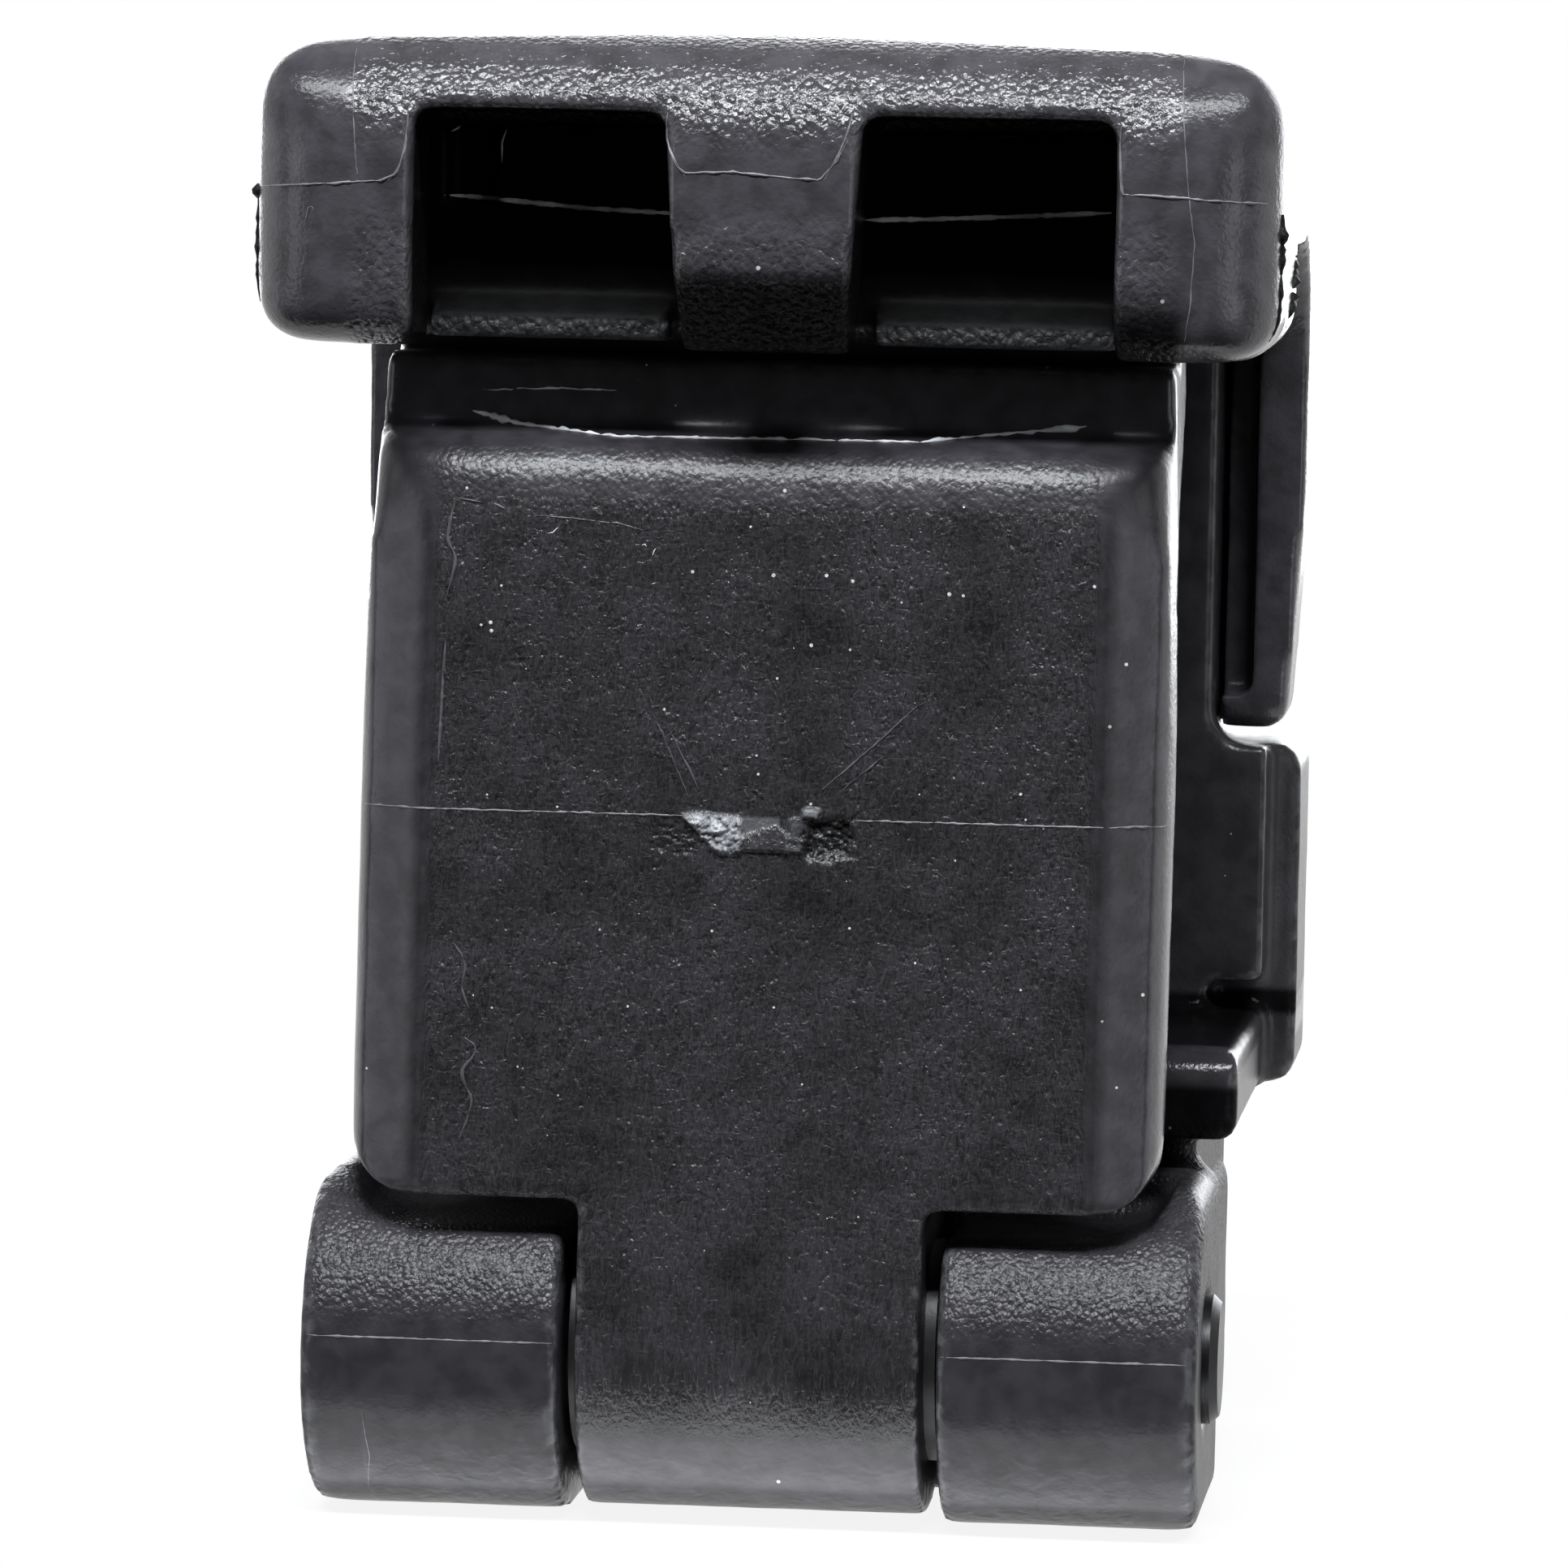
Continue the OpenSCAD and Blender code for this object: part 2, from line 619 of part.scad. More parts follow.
// Fasteners
module hex_socket(corners_d) {
    translate([0, 0, -socket_depth]) cylinder(d = corners_d, h = socket_depth + over, $fn = 6);
}
module head_screws() {
    shank_l = skirt_t + hood_gap + head_insert_l;
    color(steel) pair(screw_spacing) translate([0, head_back, head_screw_z]) rotate([-90, 0, 0])
    difference() {
        union() {
            intersection() {
                cylinder(r = screw_head_r, h = button_h);
                translate([0, 0, button_h - dome_r]) sphere(r = dome_r);
            }
            translate([0, 0, -shank_l]) cylinder(r = screw_r, h = shank_l + eps);
        }
        translate([0, 0, button_h]) hex_socket(socket_d);
    }
}
module head_inserts() {
    color(brass) pair(screw_spacing) translate([0, post_back, head_screw_z]) rotate([90, 0, 0])
    difference() {
        cylinder(d = head_insert_d, h = head_insert_l);
        translate([0, 0, -over]) cylinder(r = screw_r, h = head_insert_l + 2 * over);
    }
}
module bar_screws() {
    head_z = bar_z + csk_sink;
    color(steel) pair(screw_spacing) translate([0, bar_mid, head_z]) difference() {
        union() {
            cylinder(r1 = bar_screw_head_r, r2 = bar_screw_r, h = csk_depth);
            cylinder(r = bar_screw_r, h = roof_z + bar_screw_hold - head_z);
        }
        mirror([0, 0, 1]) hex_socket(bar_socket_d);
    }
}
module deck_inserts() {
    color(brass) pair(deck_spacing) difference() {
        cylinder(d = deck_insert_d, h = deck_insert_l);
        translate([0, 0, -over]) cylinder(d = deck_thread_d, h = deck_insert_l + 2 * over);
    }
}

base();
horn_head();
catch_bar();
gate();
hinge_pin();
left_bush();
right_bush();
gate_spring();
head_screws();
head_inserts();
bar_screws();
deck_inserts();
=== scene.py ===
"""Looks of a moulded cleat horn with a sprung gate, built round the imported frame."""

import logging
import math
from contextlib import contextmanager
from dataclasses import dataclass, field
from enum import Enum
from typing import Callable, ClassVar, Iterator, Optional, Sequence

import bmesh
import bpy
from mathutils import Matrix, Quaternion, Vector, noise
from mathutils.bvhtree import BVHTree


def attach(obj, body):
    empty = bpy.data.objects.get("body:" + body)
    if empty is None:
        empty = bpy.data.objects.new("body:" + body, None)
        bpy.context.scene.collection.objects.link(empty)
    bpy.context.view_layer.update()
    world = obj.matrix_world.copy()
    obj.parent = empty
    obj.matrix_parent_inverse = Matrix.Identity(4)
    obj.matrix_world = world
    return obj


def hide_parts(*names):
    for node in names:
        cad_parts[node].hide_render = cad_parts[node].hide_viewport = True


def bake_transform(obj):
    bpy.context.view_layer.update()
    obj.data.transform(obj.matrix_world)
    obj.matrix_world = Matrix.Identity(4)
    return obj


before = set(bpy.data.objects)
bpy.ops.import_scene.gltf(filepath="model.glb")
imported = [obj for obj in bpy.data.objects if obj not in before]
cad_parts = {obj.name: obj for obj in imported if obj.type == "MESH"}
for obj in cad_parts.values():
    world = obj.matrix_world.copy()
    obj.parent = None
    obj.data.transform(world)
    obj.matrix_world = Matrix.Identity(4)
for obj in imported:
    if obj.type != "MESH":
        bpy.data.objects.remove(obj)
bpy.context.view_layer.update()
MM = 0.001
SAME_POINT = 1e-7
log = logging.getLogger("cleat_horn")

Colour = tuple[float, float, float]
Pair = tuple[float, float]
PathXZ = Sequence[Pair]
Paths = Sequence[PathXZ]
Socket = bpy.types.NodeSocket


class Axis(Enum):
    """An axis of the shared frame, by its place in a vector."""

    X = 0
    Y = 1
    Z = 2


X, Y, Z = Axis


class Grain(Enum):
    """The mould's surface patterns."""

    LEATHER = "leather"
    FELT = "felt"
    SAND = "sand"
    RIPPLE = "ripple"


class Facing(Enum):
    """The side that a mark is laid from, as the direction of sight."""

    FRONT = (0.0, 1.0, 0.0)
    LEFT = (1.0, 0.0, 0.0)
    RIGHT = (-1.0, 0.0, 0.0)


class Body(Enum):
    """The two moving bodies of the frame."""

    FRAME = "frame"
    GATE = "gate"


def unit(value: float) -> float:
    """A number kept between 0 and 1."""
    return min(max(value, 0.0), 1.0)


class Nodes:
    """A node tree that is filled a node at a time."""

    def __init__(self, tree: bpy.types.NodeTree) -> None:
        """Keeps a tree, emptied."""
        tree.nodes.clear()
        self.tree = tree

    def feed(self, source: object, target: Socket) -> None:
        """Links a socket or a node's first output, or writes a plain value, into a socket."""
        if isinstance(source, bpy.types.Node):
            source = source.outputs[0]
        if isinstance(source, bpy.types.NodeSocket):
            self.tree.links.new(source, target)
        else:
            target.default_value = source

    def add(self, kind: str, given: Optional[dict] = None, **settings: object) -> bpy.types.Node:
        """Adds one node.

        Args:
            kind: The node's type.
            given: Sockets, nodes or plain values for its inputs, by name or place.
            **settings: The node's own settings.

        Returns:
            The node.
        """
        made = self.tree.nodes.new(kind)
        for name, value in settings.items():
            setattr(made, name, value)
        for key, source in (given or {}).items():
            self.feed(source, made.inputs[key])
        return made

    def maths(self, operation: str, a: object, b: object = 0.0, clamp: bool = False) -> Socket:
        """One sum on two sockets or numbers, kept between 0 and 1 where so set."""
        made = self.add("ShaderNodeMath", {0: a, 1: b}, operation=operation, use_clamp=clamp)
        return made.outputs[0]

    def times(self, a: object, b: object) -> Socket:
        """Two numbers multiplied."""
        return self.maths("MULTIPLY", a, b)

    def merged(self, values: Sequence[Socket], operation: str) -> Optional[Socket]:
        """Several numbers joined into one by the same sum, or nothing without any."""
        made: Optional[Socket] = None
        for value in values:
            made = value if made is None else self.maths(operation, made, value)
        return made

    def step(self, value: object, low: float, high: float,
             start: float = 0.0, end: float = 1.0) -> Socket:
        """A smooth step from start, where a value is low, to end, where it is high."""
        given = {"Value": value, "From Min": low, "From Max": high, "To Min": start, "To Max": end}
        made = self.add("ShaderNodeMapRange", given, interpolation_type="SMOOTHSTEP")
        return made.outputs["Result"]

    def spread(self, value: object, low: float, high: float) -> Socket:
        """A 0 to 1 value spread evenly from low to high."""
        made = self.add("ShaderNodeMapRange", {"Value": value, "To Min": low, "To Max": high})
        return made.outputs["Result"]


class Shader(Nodes):
    """A material's node tree, on millimetre coordinates."""

    MIX_UNDER, MIX_OVER, MIX_RESULT = 6, 7, 2

    def __init__(self, name: str) -> None:
        """Starts a named material with one surface shader."""
        self.material = bpy.data.materials.new(name)
        self.material.use_nodes = True
        super().__init__(self.material.node_tree)
        self.surface = self.add("ShaderNodeBsdfPrincipled")
        self.add("ShaderNodeOutputMaterial", {"Surface": self.surface})
        where = self.add("ShaderNodeTexCoord").outputs["Object"]
        scale = self.add("ShaderNodeMapping", {"Vector": where, "Scale": (1 / MM,) * 3})
        self.place: Socket = scale.outputs["Vector"]

    def along(self, axis: Axis) -> Socket:
        """The place along one axis, in millimetres."""
        return self.add("ShaderNodeSeparateXYZ", {0: self.place}).outputs[axis.value]

    def stretched(self, scale: Colour, turn: Colour = (0.0, 0.0, 0.0)) -> Socket:
        """The place stretched by a factor on each axis, and turned."""
        given = {"Vector": self.place, "Scale": scale, "Rotation": turn}
        return self.add("ShaderNodeMapping", given).outputs["Vector"]

    def clouds(self, cell: float, detail: float = 2.0, warp: float = 0.0,
               place: Optional[Socket] = None) -> Socket:
        """A soft random value from 0 to 1.

        Args:
            cell: The cell size, in millimetres of the place given.
            detail: How many finer layers are added.
            warp: How far the pattern is twisted.
            place: Coordinates to use in place of the plain ones.

        Returns:
            The value's socket.
        """
        given = {"Vector": place or self.place, "Scale": 1 / cell, "Detail": detail,
                 "Distortion": warp}
        return self.add("ShaderNodeTexNoise", given).outputs["Fac"]

    def cells(self, cell: float, place: Socket) -> bpy.types.Node:
        """A cell pattern of a given size, as its node."""
        return self.add("ShaderNodeTexVoronoi", {"Vector": place, "Scale": 1 / cell})

    def attribute(self, name: str) -> Socket:
        """A number stored on the mesh."""
        return self.add("ShaderNodeAttribute", attribute_name=name).outputs["Fac"]

    def paint(self, weight: object, under: object, over: object) -> Socket:
        """One colour laid over another by a weight."""
        under, over = ((*c, 1.0) if isinstance(c, tuple) else c for c in (under, over))
        given = {"Factor": weight, self.MIX_UNDER: under, self.MIX_OVER: over}
        return self.add("ShaderNodeMix", given, data_type="RGBA").outputs[self.MIX_RESULT]

    def scaled(self, colour: Socket, factor: Socket) -> Socket:
        """A colour made darker by a factor."""
        given = {0: colour, "Scale": factor}
        return self.add("ShaderNodeVectorMath", given, operation="SCALE").outputs[0]

    def relief(self, height: Socket) -> None:
        """Raises the surface by a height in millimetres."""
        made = self.add("ShaderNodeBump", {"Height": height, "Distance": MM})
        self.feed(made, self.surface.inputs["Normal"])


@dataclass(frozen=True)
class Span:
    """A stretch along one axis, in millimetres, with soft ends."""

    axis: Axis
    low: float
    high: float
    soft: float = 0.5
    outside: bool = False
    share: float = 1.0

    def mask(self, shader: Shader) -> Socket:
        """A weight that reaches the share inside the stretch, or outside it where so set."""
        value = shader.along(self.axis)
        rise = shader.step(value, self.low - self.soft, self.low + self.soft)
        fall = shader.step(value, self.high - self.soft, self.high + self.soft)
        inside = shader.maths("SUBTRACT", rise, fall, clamp=True)
        made = shader.maths("SUBTRACT", 1.0, inside) if self.outside else inside
        return made if self.share == 1 else shader.times(made, self.share)


Region = tuple[Span, ...]


def overlap(spans: Region, shader: Shader) -> Optional[Socket]:
    """A weight that is 1 inside all the stretches given, or nothing without any."""
    return shader.merged([span.mask(shader) for span in spans], "MULTIPLY")


def any_of(regions: Sequence[Region], shader: Shader) -> Optional[Socket]:
    """Where any one of several regions lies, from 0 to 1; nothing when there are none."""
    return shader.merged([overlap(region, shader) for region in regions], "MAXIMUM")


@dataclass(frozen=True)
class GrainPatch:
    """One grain on part of a moulding, with its cell and depth in millimetres."""

    kind: Grain
    cell: float
    depth: float
    spans: Region = ()
    FACET_STRETCH, FACET_TURN, FACET_SHARE = (1.15, 1.0, 0.85), (0.0, 0.25, 0.0), 0.85
    CREASE_CELLS = 1.3
    STRAND_LENGTH, STRAND_TURN, STRAND_SHARE = 0.26, (0.0, 0.2, 0.0), 0.7
    TANGLE_PACE = 0.5
    TANGLE_LENGTH, TANGLE_TURN, TANGLE_SHARE = 1.6, (0.0, 0.7, 0.0), 0.3
    WEAR_CELL, WEAR_RANGE = 2.6, (0.35, 1.5)

    def leather(self, shader: Shader) -> Socket:
        """Creased facets."""
        facets = shader.cells(self.cell, shader.stretched(self.FACET_STRETCH, self.FACET_TURN))
        crease = shader.clouds(self.cell * self.CREASE_CELLS, 2.5, 1.0)
        sunk = shader.times(facets.outputs["Distance"], self.FACET_SHARE)
        return shader.maths("SUBTRACT", crease, sunk)

    def felt(self, shader: Shader) -> Socket:
        """Upright strands with a few across them, in patches."""
        fine, cross = 1 / self.cell, self.TANGLE_PACE / self.cell
        upright = shader.stretched((fine, fine, self.STRAND_LENGTH * fine), self.STRAND_TURN)
        strands = shader.clouds(1.0, 1.8, 1.4, upright)
        slanted = shader.stretched((cross, cross, self.TANGLE_LENGTH * cross), self.TANGLE_TURN)
        tangle = shader.clouds(1.0, 1.5, 0.8, slanted)
        mixed = shader.maths("ADD", shader.times(strands, self.STRAND_SHARE),
                             shader.times(tangle, self.TANGLE_SHARE))
        wear = shader.spread(shader.clouds(self.WEAR_CELL, 1.0), *self.WEAR_RANGE)
        return shader.times(mixed, wear)

    def pattern(self, shader: Shader) -> Socket:
        """The grain's height, from 0 to 1."""
        if self.kind is Grain.LEATHER:
            return self.leather(shader)
        if self.kind is Grain.FELT:
            return self.felt(shader)
        detail, warp = (3.0, 0.2) if self.kind is Grain.SAND else (1.0, 0.4)
        return shader.clouds(self.cell, detail, warp)

    def height(self, shader: Shader) -> Socket:
        """The grain's height in millimetres, only where the patch lies."""
        made = shader.times(self.pattern(shader), self.depth)
        inside = overlap(self.spans, shader)
        return made if inside is None else shader.times(made, inside)


@dataclass(frozen=True)
class MouldedFinish:
    """A dark moulded plastic: its colour, gloss, grains and the dust on it, with painted shade and
    painted highlight where they are set.
    """

    name: str
    colour: Colour
    gloss: Pair
    patches: tuple[GrainPatch, ...]
    dust: float = 0.0
    mottle: float = 0.25
    # Painted highlight: how much lighter the main grain's crests are painted; its valleys get
    # painted shade.
    painted_crest_light: float = 0.0
    sleek: tuple[Region, ...] = ()
    shine: float = 0.5
    # Painted shade: how much darker the colour is painted over the first grain's patch.
    shade: float = 1.0
    # Regions of painted shade, where the colour and the reflection are painted darker.
    painted_shade: tuple[Region, ...] = ()
    dull: tuple[Region, ...] = ()
    IOR = 1.5
    WORN_COLOUR = (0.06, 0.06, 0.063)
    TORN_COLOUR = (0.5, 0.51, 0.54)
    PIT_SHADE_COLOUR = (0.002, 0.002, 0.002)
    DUST_COLOUR = (0.5, 0.5, 0.49)
    DUST_CELL, DUST_STRETCH, DUST_POWER, DUST_RADIUS = 0.95, (1.0, 0.25, 1.0), 1.7, 0.07
    CREST, VALLEY, VALLEY_KEPT = (0.42, 0.66), (0.4, 0.22), 0.3
    EDGE_TURN, EDGE_PATCHES, EDGE_POLISH = (0.25, 1.0), (0.42, 0.62), 0.06
    DIM_KEPT, DULL_KEPT, SLEEK_KEPT = 0.15, 0.12, 0.5

    def tint(self, factor: float) -> Colour:
        """The finish's colour times a factor."""
        return tuple(c * factor for c in self.colour)

    def grained(self, shader: Shader, main: Socket) -> Socket:
        """The mottled plastic, with a painted highlight on the main grain's crests, painted shade
        in its valleys and painted shade over its patch.

        Args:
            shader: The material's tree.
            main: The main grain's height.

        Returns:
            The colour's socket.
        """
        mottle = shader.step(shader.clouds(0.9, 5.0, 0.3), 0.3, 0.7)
        colour = shader.paint(mottle, self.tint(1 - self.mottle), self.tint(1 + self.mottle))
        inside = overlap(self.patches[0].spans, shader)
        if inside is None:
            return colour
        depth = self.patches[0].depth
        # Painted highlight on the grain's crests and painted shade in its valleys.
        if self.painted_crest_light > 0:
            crest = shader.step(main, *(depth * share for share in self.CREST))
            colour = shader.paint(crest, colour, self.tint(1 + self.painted_crest_light))
            low = shader.step(main, *(depth * share for share in self.VALLEY))
            valley = shader.times(low, inside)
            colour = shader.scaled(colour, shader.spread(valley, 1.0, self.VALLEY_KEPT))
        # Painted shade over the whole first grain's patch.
        if self.shade < 1:
            colour = shader.scaled(colour, shader.spread(inside, 1.0, self.shade))
        return colour

    def dusted(self, shader: Shader, colour: Socket) -> Socket:
        """A colour with specks of dust on it."""
        dots = shader.cells(self.DUST_CELL, shader.stretched(self.DUST_STRETCH))
        picked = shader.add("ShaderNodeSeparateColor", {0: dots.outputs["Color"]}).outputs
        few = shader.maths("GREATER_THAN", picked[0], 1 - self.dust)
        size = shader.times(shader.maths("POWER", picked[1], self.DUST_POWER), self.DUST_RADIUS)
        dot = shader.maths("LESS_THAN", dots.outputs["Distance"], size)
        return shader.paint(shader.times(dot, few), colour, self.DUST_COLOUR)

    def material(self) -> bpy.types.Material:
        """Builds the finish's material.

        Returns:
            The material, on the piece's own millimetre coordinates.
        """
        shader = Shader(self.name)
        heights = [patch.height(shader) for patch in self.patches]
        shader.relief(shader.merged(heights, "ADD"))
        colour = self.grained(shader, heights[0])
        edge = shader.times(shader.step(shader.attribute("edge"), *self.EDGE_TURN),
                            shader.step(shader.clouds(0.5, 3.0), *self.EDGE_PATCHES))
        colour = shader.paint(edge, colour, self.WORN_COLOUR)
        # The stored torn values: above zero, whitened torn plastic; below zero, painted shade in
        # the scar's pit and under its slab, and its mottled patch painted darker.
        broken = shader.attribute("torn")
        for sign, tone in ((-1.0, self.PIT_SHADE_COLOUR), (1.0, self.TORN_COLOUR)):
            colour = shader.paint(shader.maths("MULTIPLY", broken, sign, clamp=True), colour, tone)
        if self.dust > 0:
            colour = self.dusted(shader, colour)
        mirror: object = self.shine
        # Painted shade: colour and reflection darkened in the regions where the part lies in shade.
        shadow = any_of(self.painted_shade, shader)
        if shadow is not None:
            kept = shader.spread(shadow, 1.0, self.DIM_KEPT)
            colour = shader.scaled(colour, kept)
            mirror = shader.times(kept, mirror)
        flat = any_of(self.dull, shader)
        if flat is not None:
            mirror = shader.times(shader.spread(flat, 1.0, self.DULL_KEPT), mirror)
        rough = shader.spread(shader.clouds(0.35, 4.0, 0.5), *self.gloss)
        rough = shader.maths("SUBTRACT", rough, shader.times(edge, self.EDGE_POLISH))
        sleek = any_of(self.sleek, shader)
        if sleek is not None:
            rough = shader.times(rough, shader.spread(sleek, 1.0, self.SLEEK_KEPT))
        for label, source in (("Specular IOR Level", mirror), ("Base Color", colour),
                              ("Roughness", rough), ("IOR", self.IOR)):
            shader.feed(source, shader.surface.inputs[label])
        return shader.material


@dataclass(frozen=True)
class MetalFinish:
    """A plain metal with fine tool marks."""

    name: str
    colour: Colour
    gloss: Pair
    lay: Colour = (12.0, 2.0, 2.0)
    DULL_SHARE = 0.7
    MARK_DEPTH = 0.008

    def material(self) -> bpy.types.Material:
        """Builds the metal's material, with its marks along the lay."""
        shader = Shader(self.name)
        marks = shader.clouds(1.0, 3.0, 0.1, shader.stretched(self.lay))
        dull = shader.clouds(1.6, 4.0, 0.4)
        dark = tuple(c * self.DULL_SHARE for c in self.colour)
        rough = shader.spread(shader.times(marks, dull), *self.gloss)
        for label, source in (("Base Color", shader.paint(dull, dark, self.colour)),
                              ("Roughness", rough), ("Metallic", 1.0)):
            shader.feed(source, shader.surface.inputs[label])
        shader.relief(shader.times(marks, self.MARK_DEPTH))
        return shader.material


FINE_SAND = (GrainPatch(Grain.SAND, 0.1, 0.01),)
# The horn, base, gate and bar are one plastic; the horn's colour is set lighter than the others' as
# painted light.
HORN_FINISH = MouldedFinish(
    "horn_leather_grain", (0.043, 0.0408, 0.0462), (0.17, 0.27),
    (GrainPatch(Grain.LEATHER, 0.22, 0.056,
                (Span(X, -12.4, 12.4, 0.5), Span(Z, 40.2, 42.4, 1.1, outside=True))),
     GrainPatch(Grain.SAND, 0.15, 0.02)),
    dust=0.3, sleek=((Span(X, -15.3, 15.3, 0.3, outside=True),),),
    # Painted shade under the middle finger's foot, on the right prong's lower part, and inside the
    # windows under the head.
    painted_shade=((Span(X, -3.3, 3.3, 0.2), Span(Y, -22.0, -12.0, 0.5), Span(Z, 30.0, 38.6, 0.55)),
         (Span(X, 9.5, 12.7, 0.35), Span(Y, -22.0, -17.0, 0.5), Span(Z, 30.0, 38.1, 0.9)),
         (Span(X, -10.9, 10.9, 0.12), Span(Y, -18.4, -6.0, 0.25), Span(Z, 32.0, 43.6, 0.15))),
    dull=((Span(X, -12.6, 12.6, 0.3, outside=True, share=0.7), Span(Z, 42.6, 47.0, 0.6)),))
BASE_FINISH = MouldedFinish(
    "base_leather_grain", (0.026, 0.0246, 0.0279), (0.24, 0.36),
    (GrainPatch(Grain.LEATHER, 0.17, 0.042, (Span(Z, 6.4, 12.0, 0.9),)),
     GrainPatch(Grain.RIPPLE, 0.6, 0.06, (Span(Z, -5.0, 3.4, 0.6), Span(X, -11.8, 11.8, 0.1))),
     GrainPatch(Grain.SAND, 0.14, 0.014)),
    dust=0.3, shine=0.24, sleek=((Span(Z, 13.5, 14.9, 0.2),),),
    # Painted shade on the floor's front lip, on the floor's top and on the ears' tops under the
    # gate.
    painted_shade=((Span(Y, -9.0, -7.6, 0.3), Span(Z, 11.0, 13.3, 0.2)),
         (Span(Y, -6.7, 9.0, 0.3), Span(Z, 14.2, 15.0, 0.15)),
         (Span(X, -12.3, 12.3, 0.4), Span(Y, -17.0, -6.0, 0.5), Span(Z, 9.7, 11.9, 0.25))),
    dull=((Span(X, -13.55, 13.55, 0.12, outside=True), Span(Z, -1.0, 11.7, 0.2)),
          (Span(X, -12.8, 12.8, 0.1, outside=True), Span(Y, -8.0, 10.0, 0.5),
           Span(Z, -1.0, 11.5, 0.2))))
GATE_FINISH = MouldedFinish(
    "gate_felt_grain", (0.0285, 0.0262, 0.0308), (0.3, 0.43),
    (GrainPatch(Grain.FELT, 0.15, 0.12, (Span(X, -10.1, 10.1, 0.25), Span(Z, 3.0, 31.4, 0.5))),
     GrainPatch(Grain.LEATHER, 0.2, 0.026,
                (Span(X, -10.2, 10.2, 0.3), Span(Z, 31.1, 33.2, 0.3))),
     GrainPatch(Grain.RIPPLE, 0.6, 0.05, (Span(Z, -5.0, 3.4, 0.6),)),
     GrainPatch(Grain.SAND, 0.2, 0.014)),
    # The felt's crests get a painted highlight and its valleys painted shade; the felt face is
    # painted darker than its smooth border, as painted shade.
    dust=0.9, mottle=0.3, painted_crest_light=0.9, shade=0.44,
    sleek=((Span(X, -11.9, 11.9, 0.5, outside=True),),),
    # Painted shade along the crease where each side bevel meets the face.
    painted_shade=((Span(X, -10.55, 10.55, 0.35), Span(X, -10.35, 10.35, 0.35, outside=True),
          Span(Z, 9.0, 31.0, 0.8)),))
BAR_FINISH = MouldedFinish(
    "bar_dull_grain", (0.022, 0.022, 0.023), (0.4, 0.55),
    (GrainPatch(Grain.SAND, 0.3, 0.02),
     GrainPatch(Grain.LEATHER, 0.25, 0.12, (Span(Z, 36.0, 36.95, 0.15),)),
     GrainPatch(Grain.RIPPLE, 1.6, 0.04)),
    # Painted shade over the bar above its lower lip, behind the windows.
    shine=0.22, painted_shade=((Span(Z, 36.95, 50.0, 0.15),),))
# Mould lines are painted lighter than the plastic: a painted highlight along the thin ridges.
LINE_HIGHLIGHT_FINISH = MouldedFinish("mould_line_painted_highlight", (0.13, 0.13, 0.137), (0.3, 0.42), FINE_SAND)
FAINT_FINISH = MouldedFinish("rubbed_plastic", (0.06, 0.058, 0.064), (0.3, 0.42), FINE_SAND)
# Near white: a painted highlight along the thinnest lines and flash.
WHITE_LINE_HIGHLIGHT_FINISH = MouldedFinish("thin_line_painted_highlight", (0.6, 0.61, 0.63), (0.25, 0.4), FINE_SAND)
TORN_FINISH = MouldedFinish(
    "torn_edge_plastic", (0.004, 0.004, 0.0042), (0.4, 0.6),
    (GrainPatch(Grain.SAND, 0.1, 0.03),), shine=0.2)
BUSH_FINISH = MouldedFinish(
    "bush_plastic", (0.035, 0.035, 0.036), (0.35, 0.5), (GrainPatch(Grain.SAND, 0.2, 0.008),))
PIN_FINISH = MetalFinish("pin_dark_steel", (0.05, 0.05, 0.052), (0.34, 0.55))
SPRING_FINISH = MetalFinish(
    "spring_steel_wire", (0.46, 0.46, 0.47), (0.22, 0.4), (3.0, 9.0, 9.0))
SCREW_FINISH = MetalFinish("screw_stainless_steel", (0.55, 0.55, 0.56), (0.2, 0.42))
INSERT_FINISH = MetalFinish("insert_brass", (0.62, 0.46, 0.2), (0.25, 0.45))


def add_object(name: str, data: bpy.types.ID) -> bpy.types.Object:
    """Puts a mesh, a light or a camera in the scene as an object at the origin."""
    made = bpy.data.objects.new(name, data)
    bpy.context.scene.collection.objects.link(made)
    return made


def set_plain(target: bpy.types.Object) -> None:
    """Swaps an object's mesh for its evaluated result and drops its modifiers."""
    bpy.context.view_layer.update()
    ready = target.evaluated_get(bpy.context.evaluated_depsgraph_get())
    made = bpy.data.meshes.new_from_object(ready)
    target.modifiers.clear()
    target.data = made


def set_material(mesh: bpy.types.Mesh, material: bpy.types.Material) -> None:
    """Gives a mesh one material."""
    mesh.materials.clear()
    mesh.materials.append(material)


def set_smooth(mesh: bpy.types.Mesh) -> None:
    """Shades every face of a mesh smoothly."""
    mesh.polygons.foreach_set("use_smooth", [True] * len(mesh.polygons))


@contextmanager
def edited(mesh: bpy.types.Mesh) -> Iterator[bmesh.types.BMesh]:
    """Opens a mesh for edits, and writes them back to it."""
    work = bmesh.new()
    work.from_mesh(mesh)
    yield work
    work.to_mesh(mesh)
    work.free()


def node_copy(node: str, name: str, quads: bool = False) -> bpy.types.Object:
    """Copies a CAD node as a new object with its triangles joined, into quads where so set."""
    work = bmesh.new()
    work.from_mesh(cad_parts[node].data)
    bmesh.ops.remove_doubles(work, verts=work.verts, dist=SAME_POINT)
    if quads:
        bmesh.ops.join_triangles(
            work, faces=work.faces, angle_face_threshold=1.0, angle_shape_threshold=3.0)
    mesh = bpy.data.meshes.new(name)
    work.to_mesh(mesh)
    work.free()
    return add_object(name, mesh)


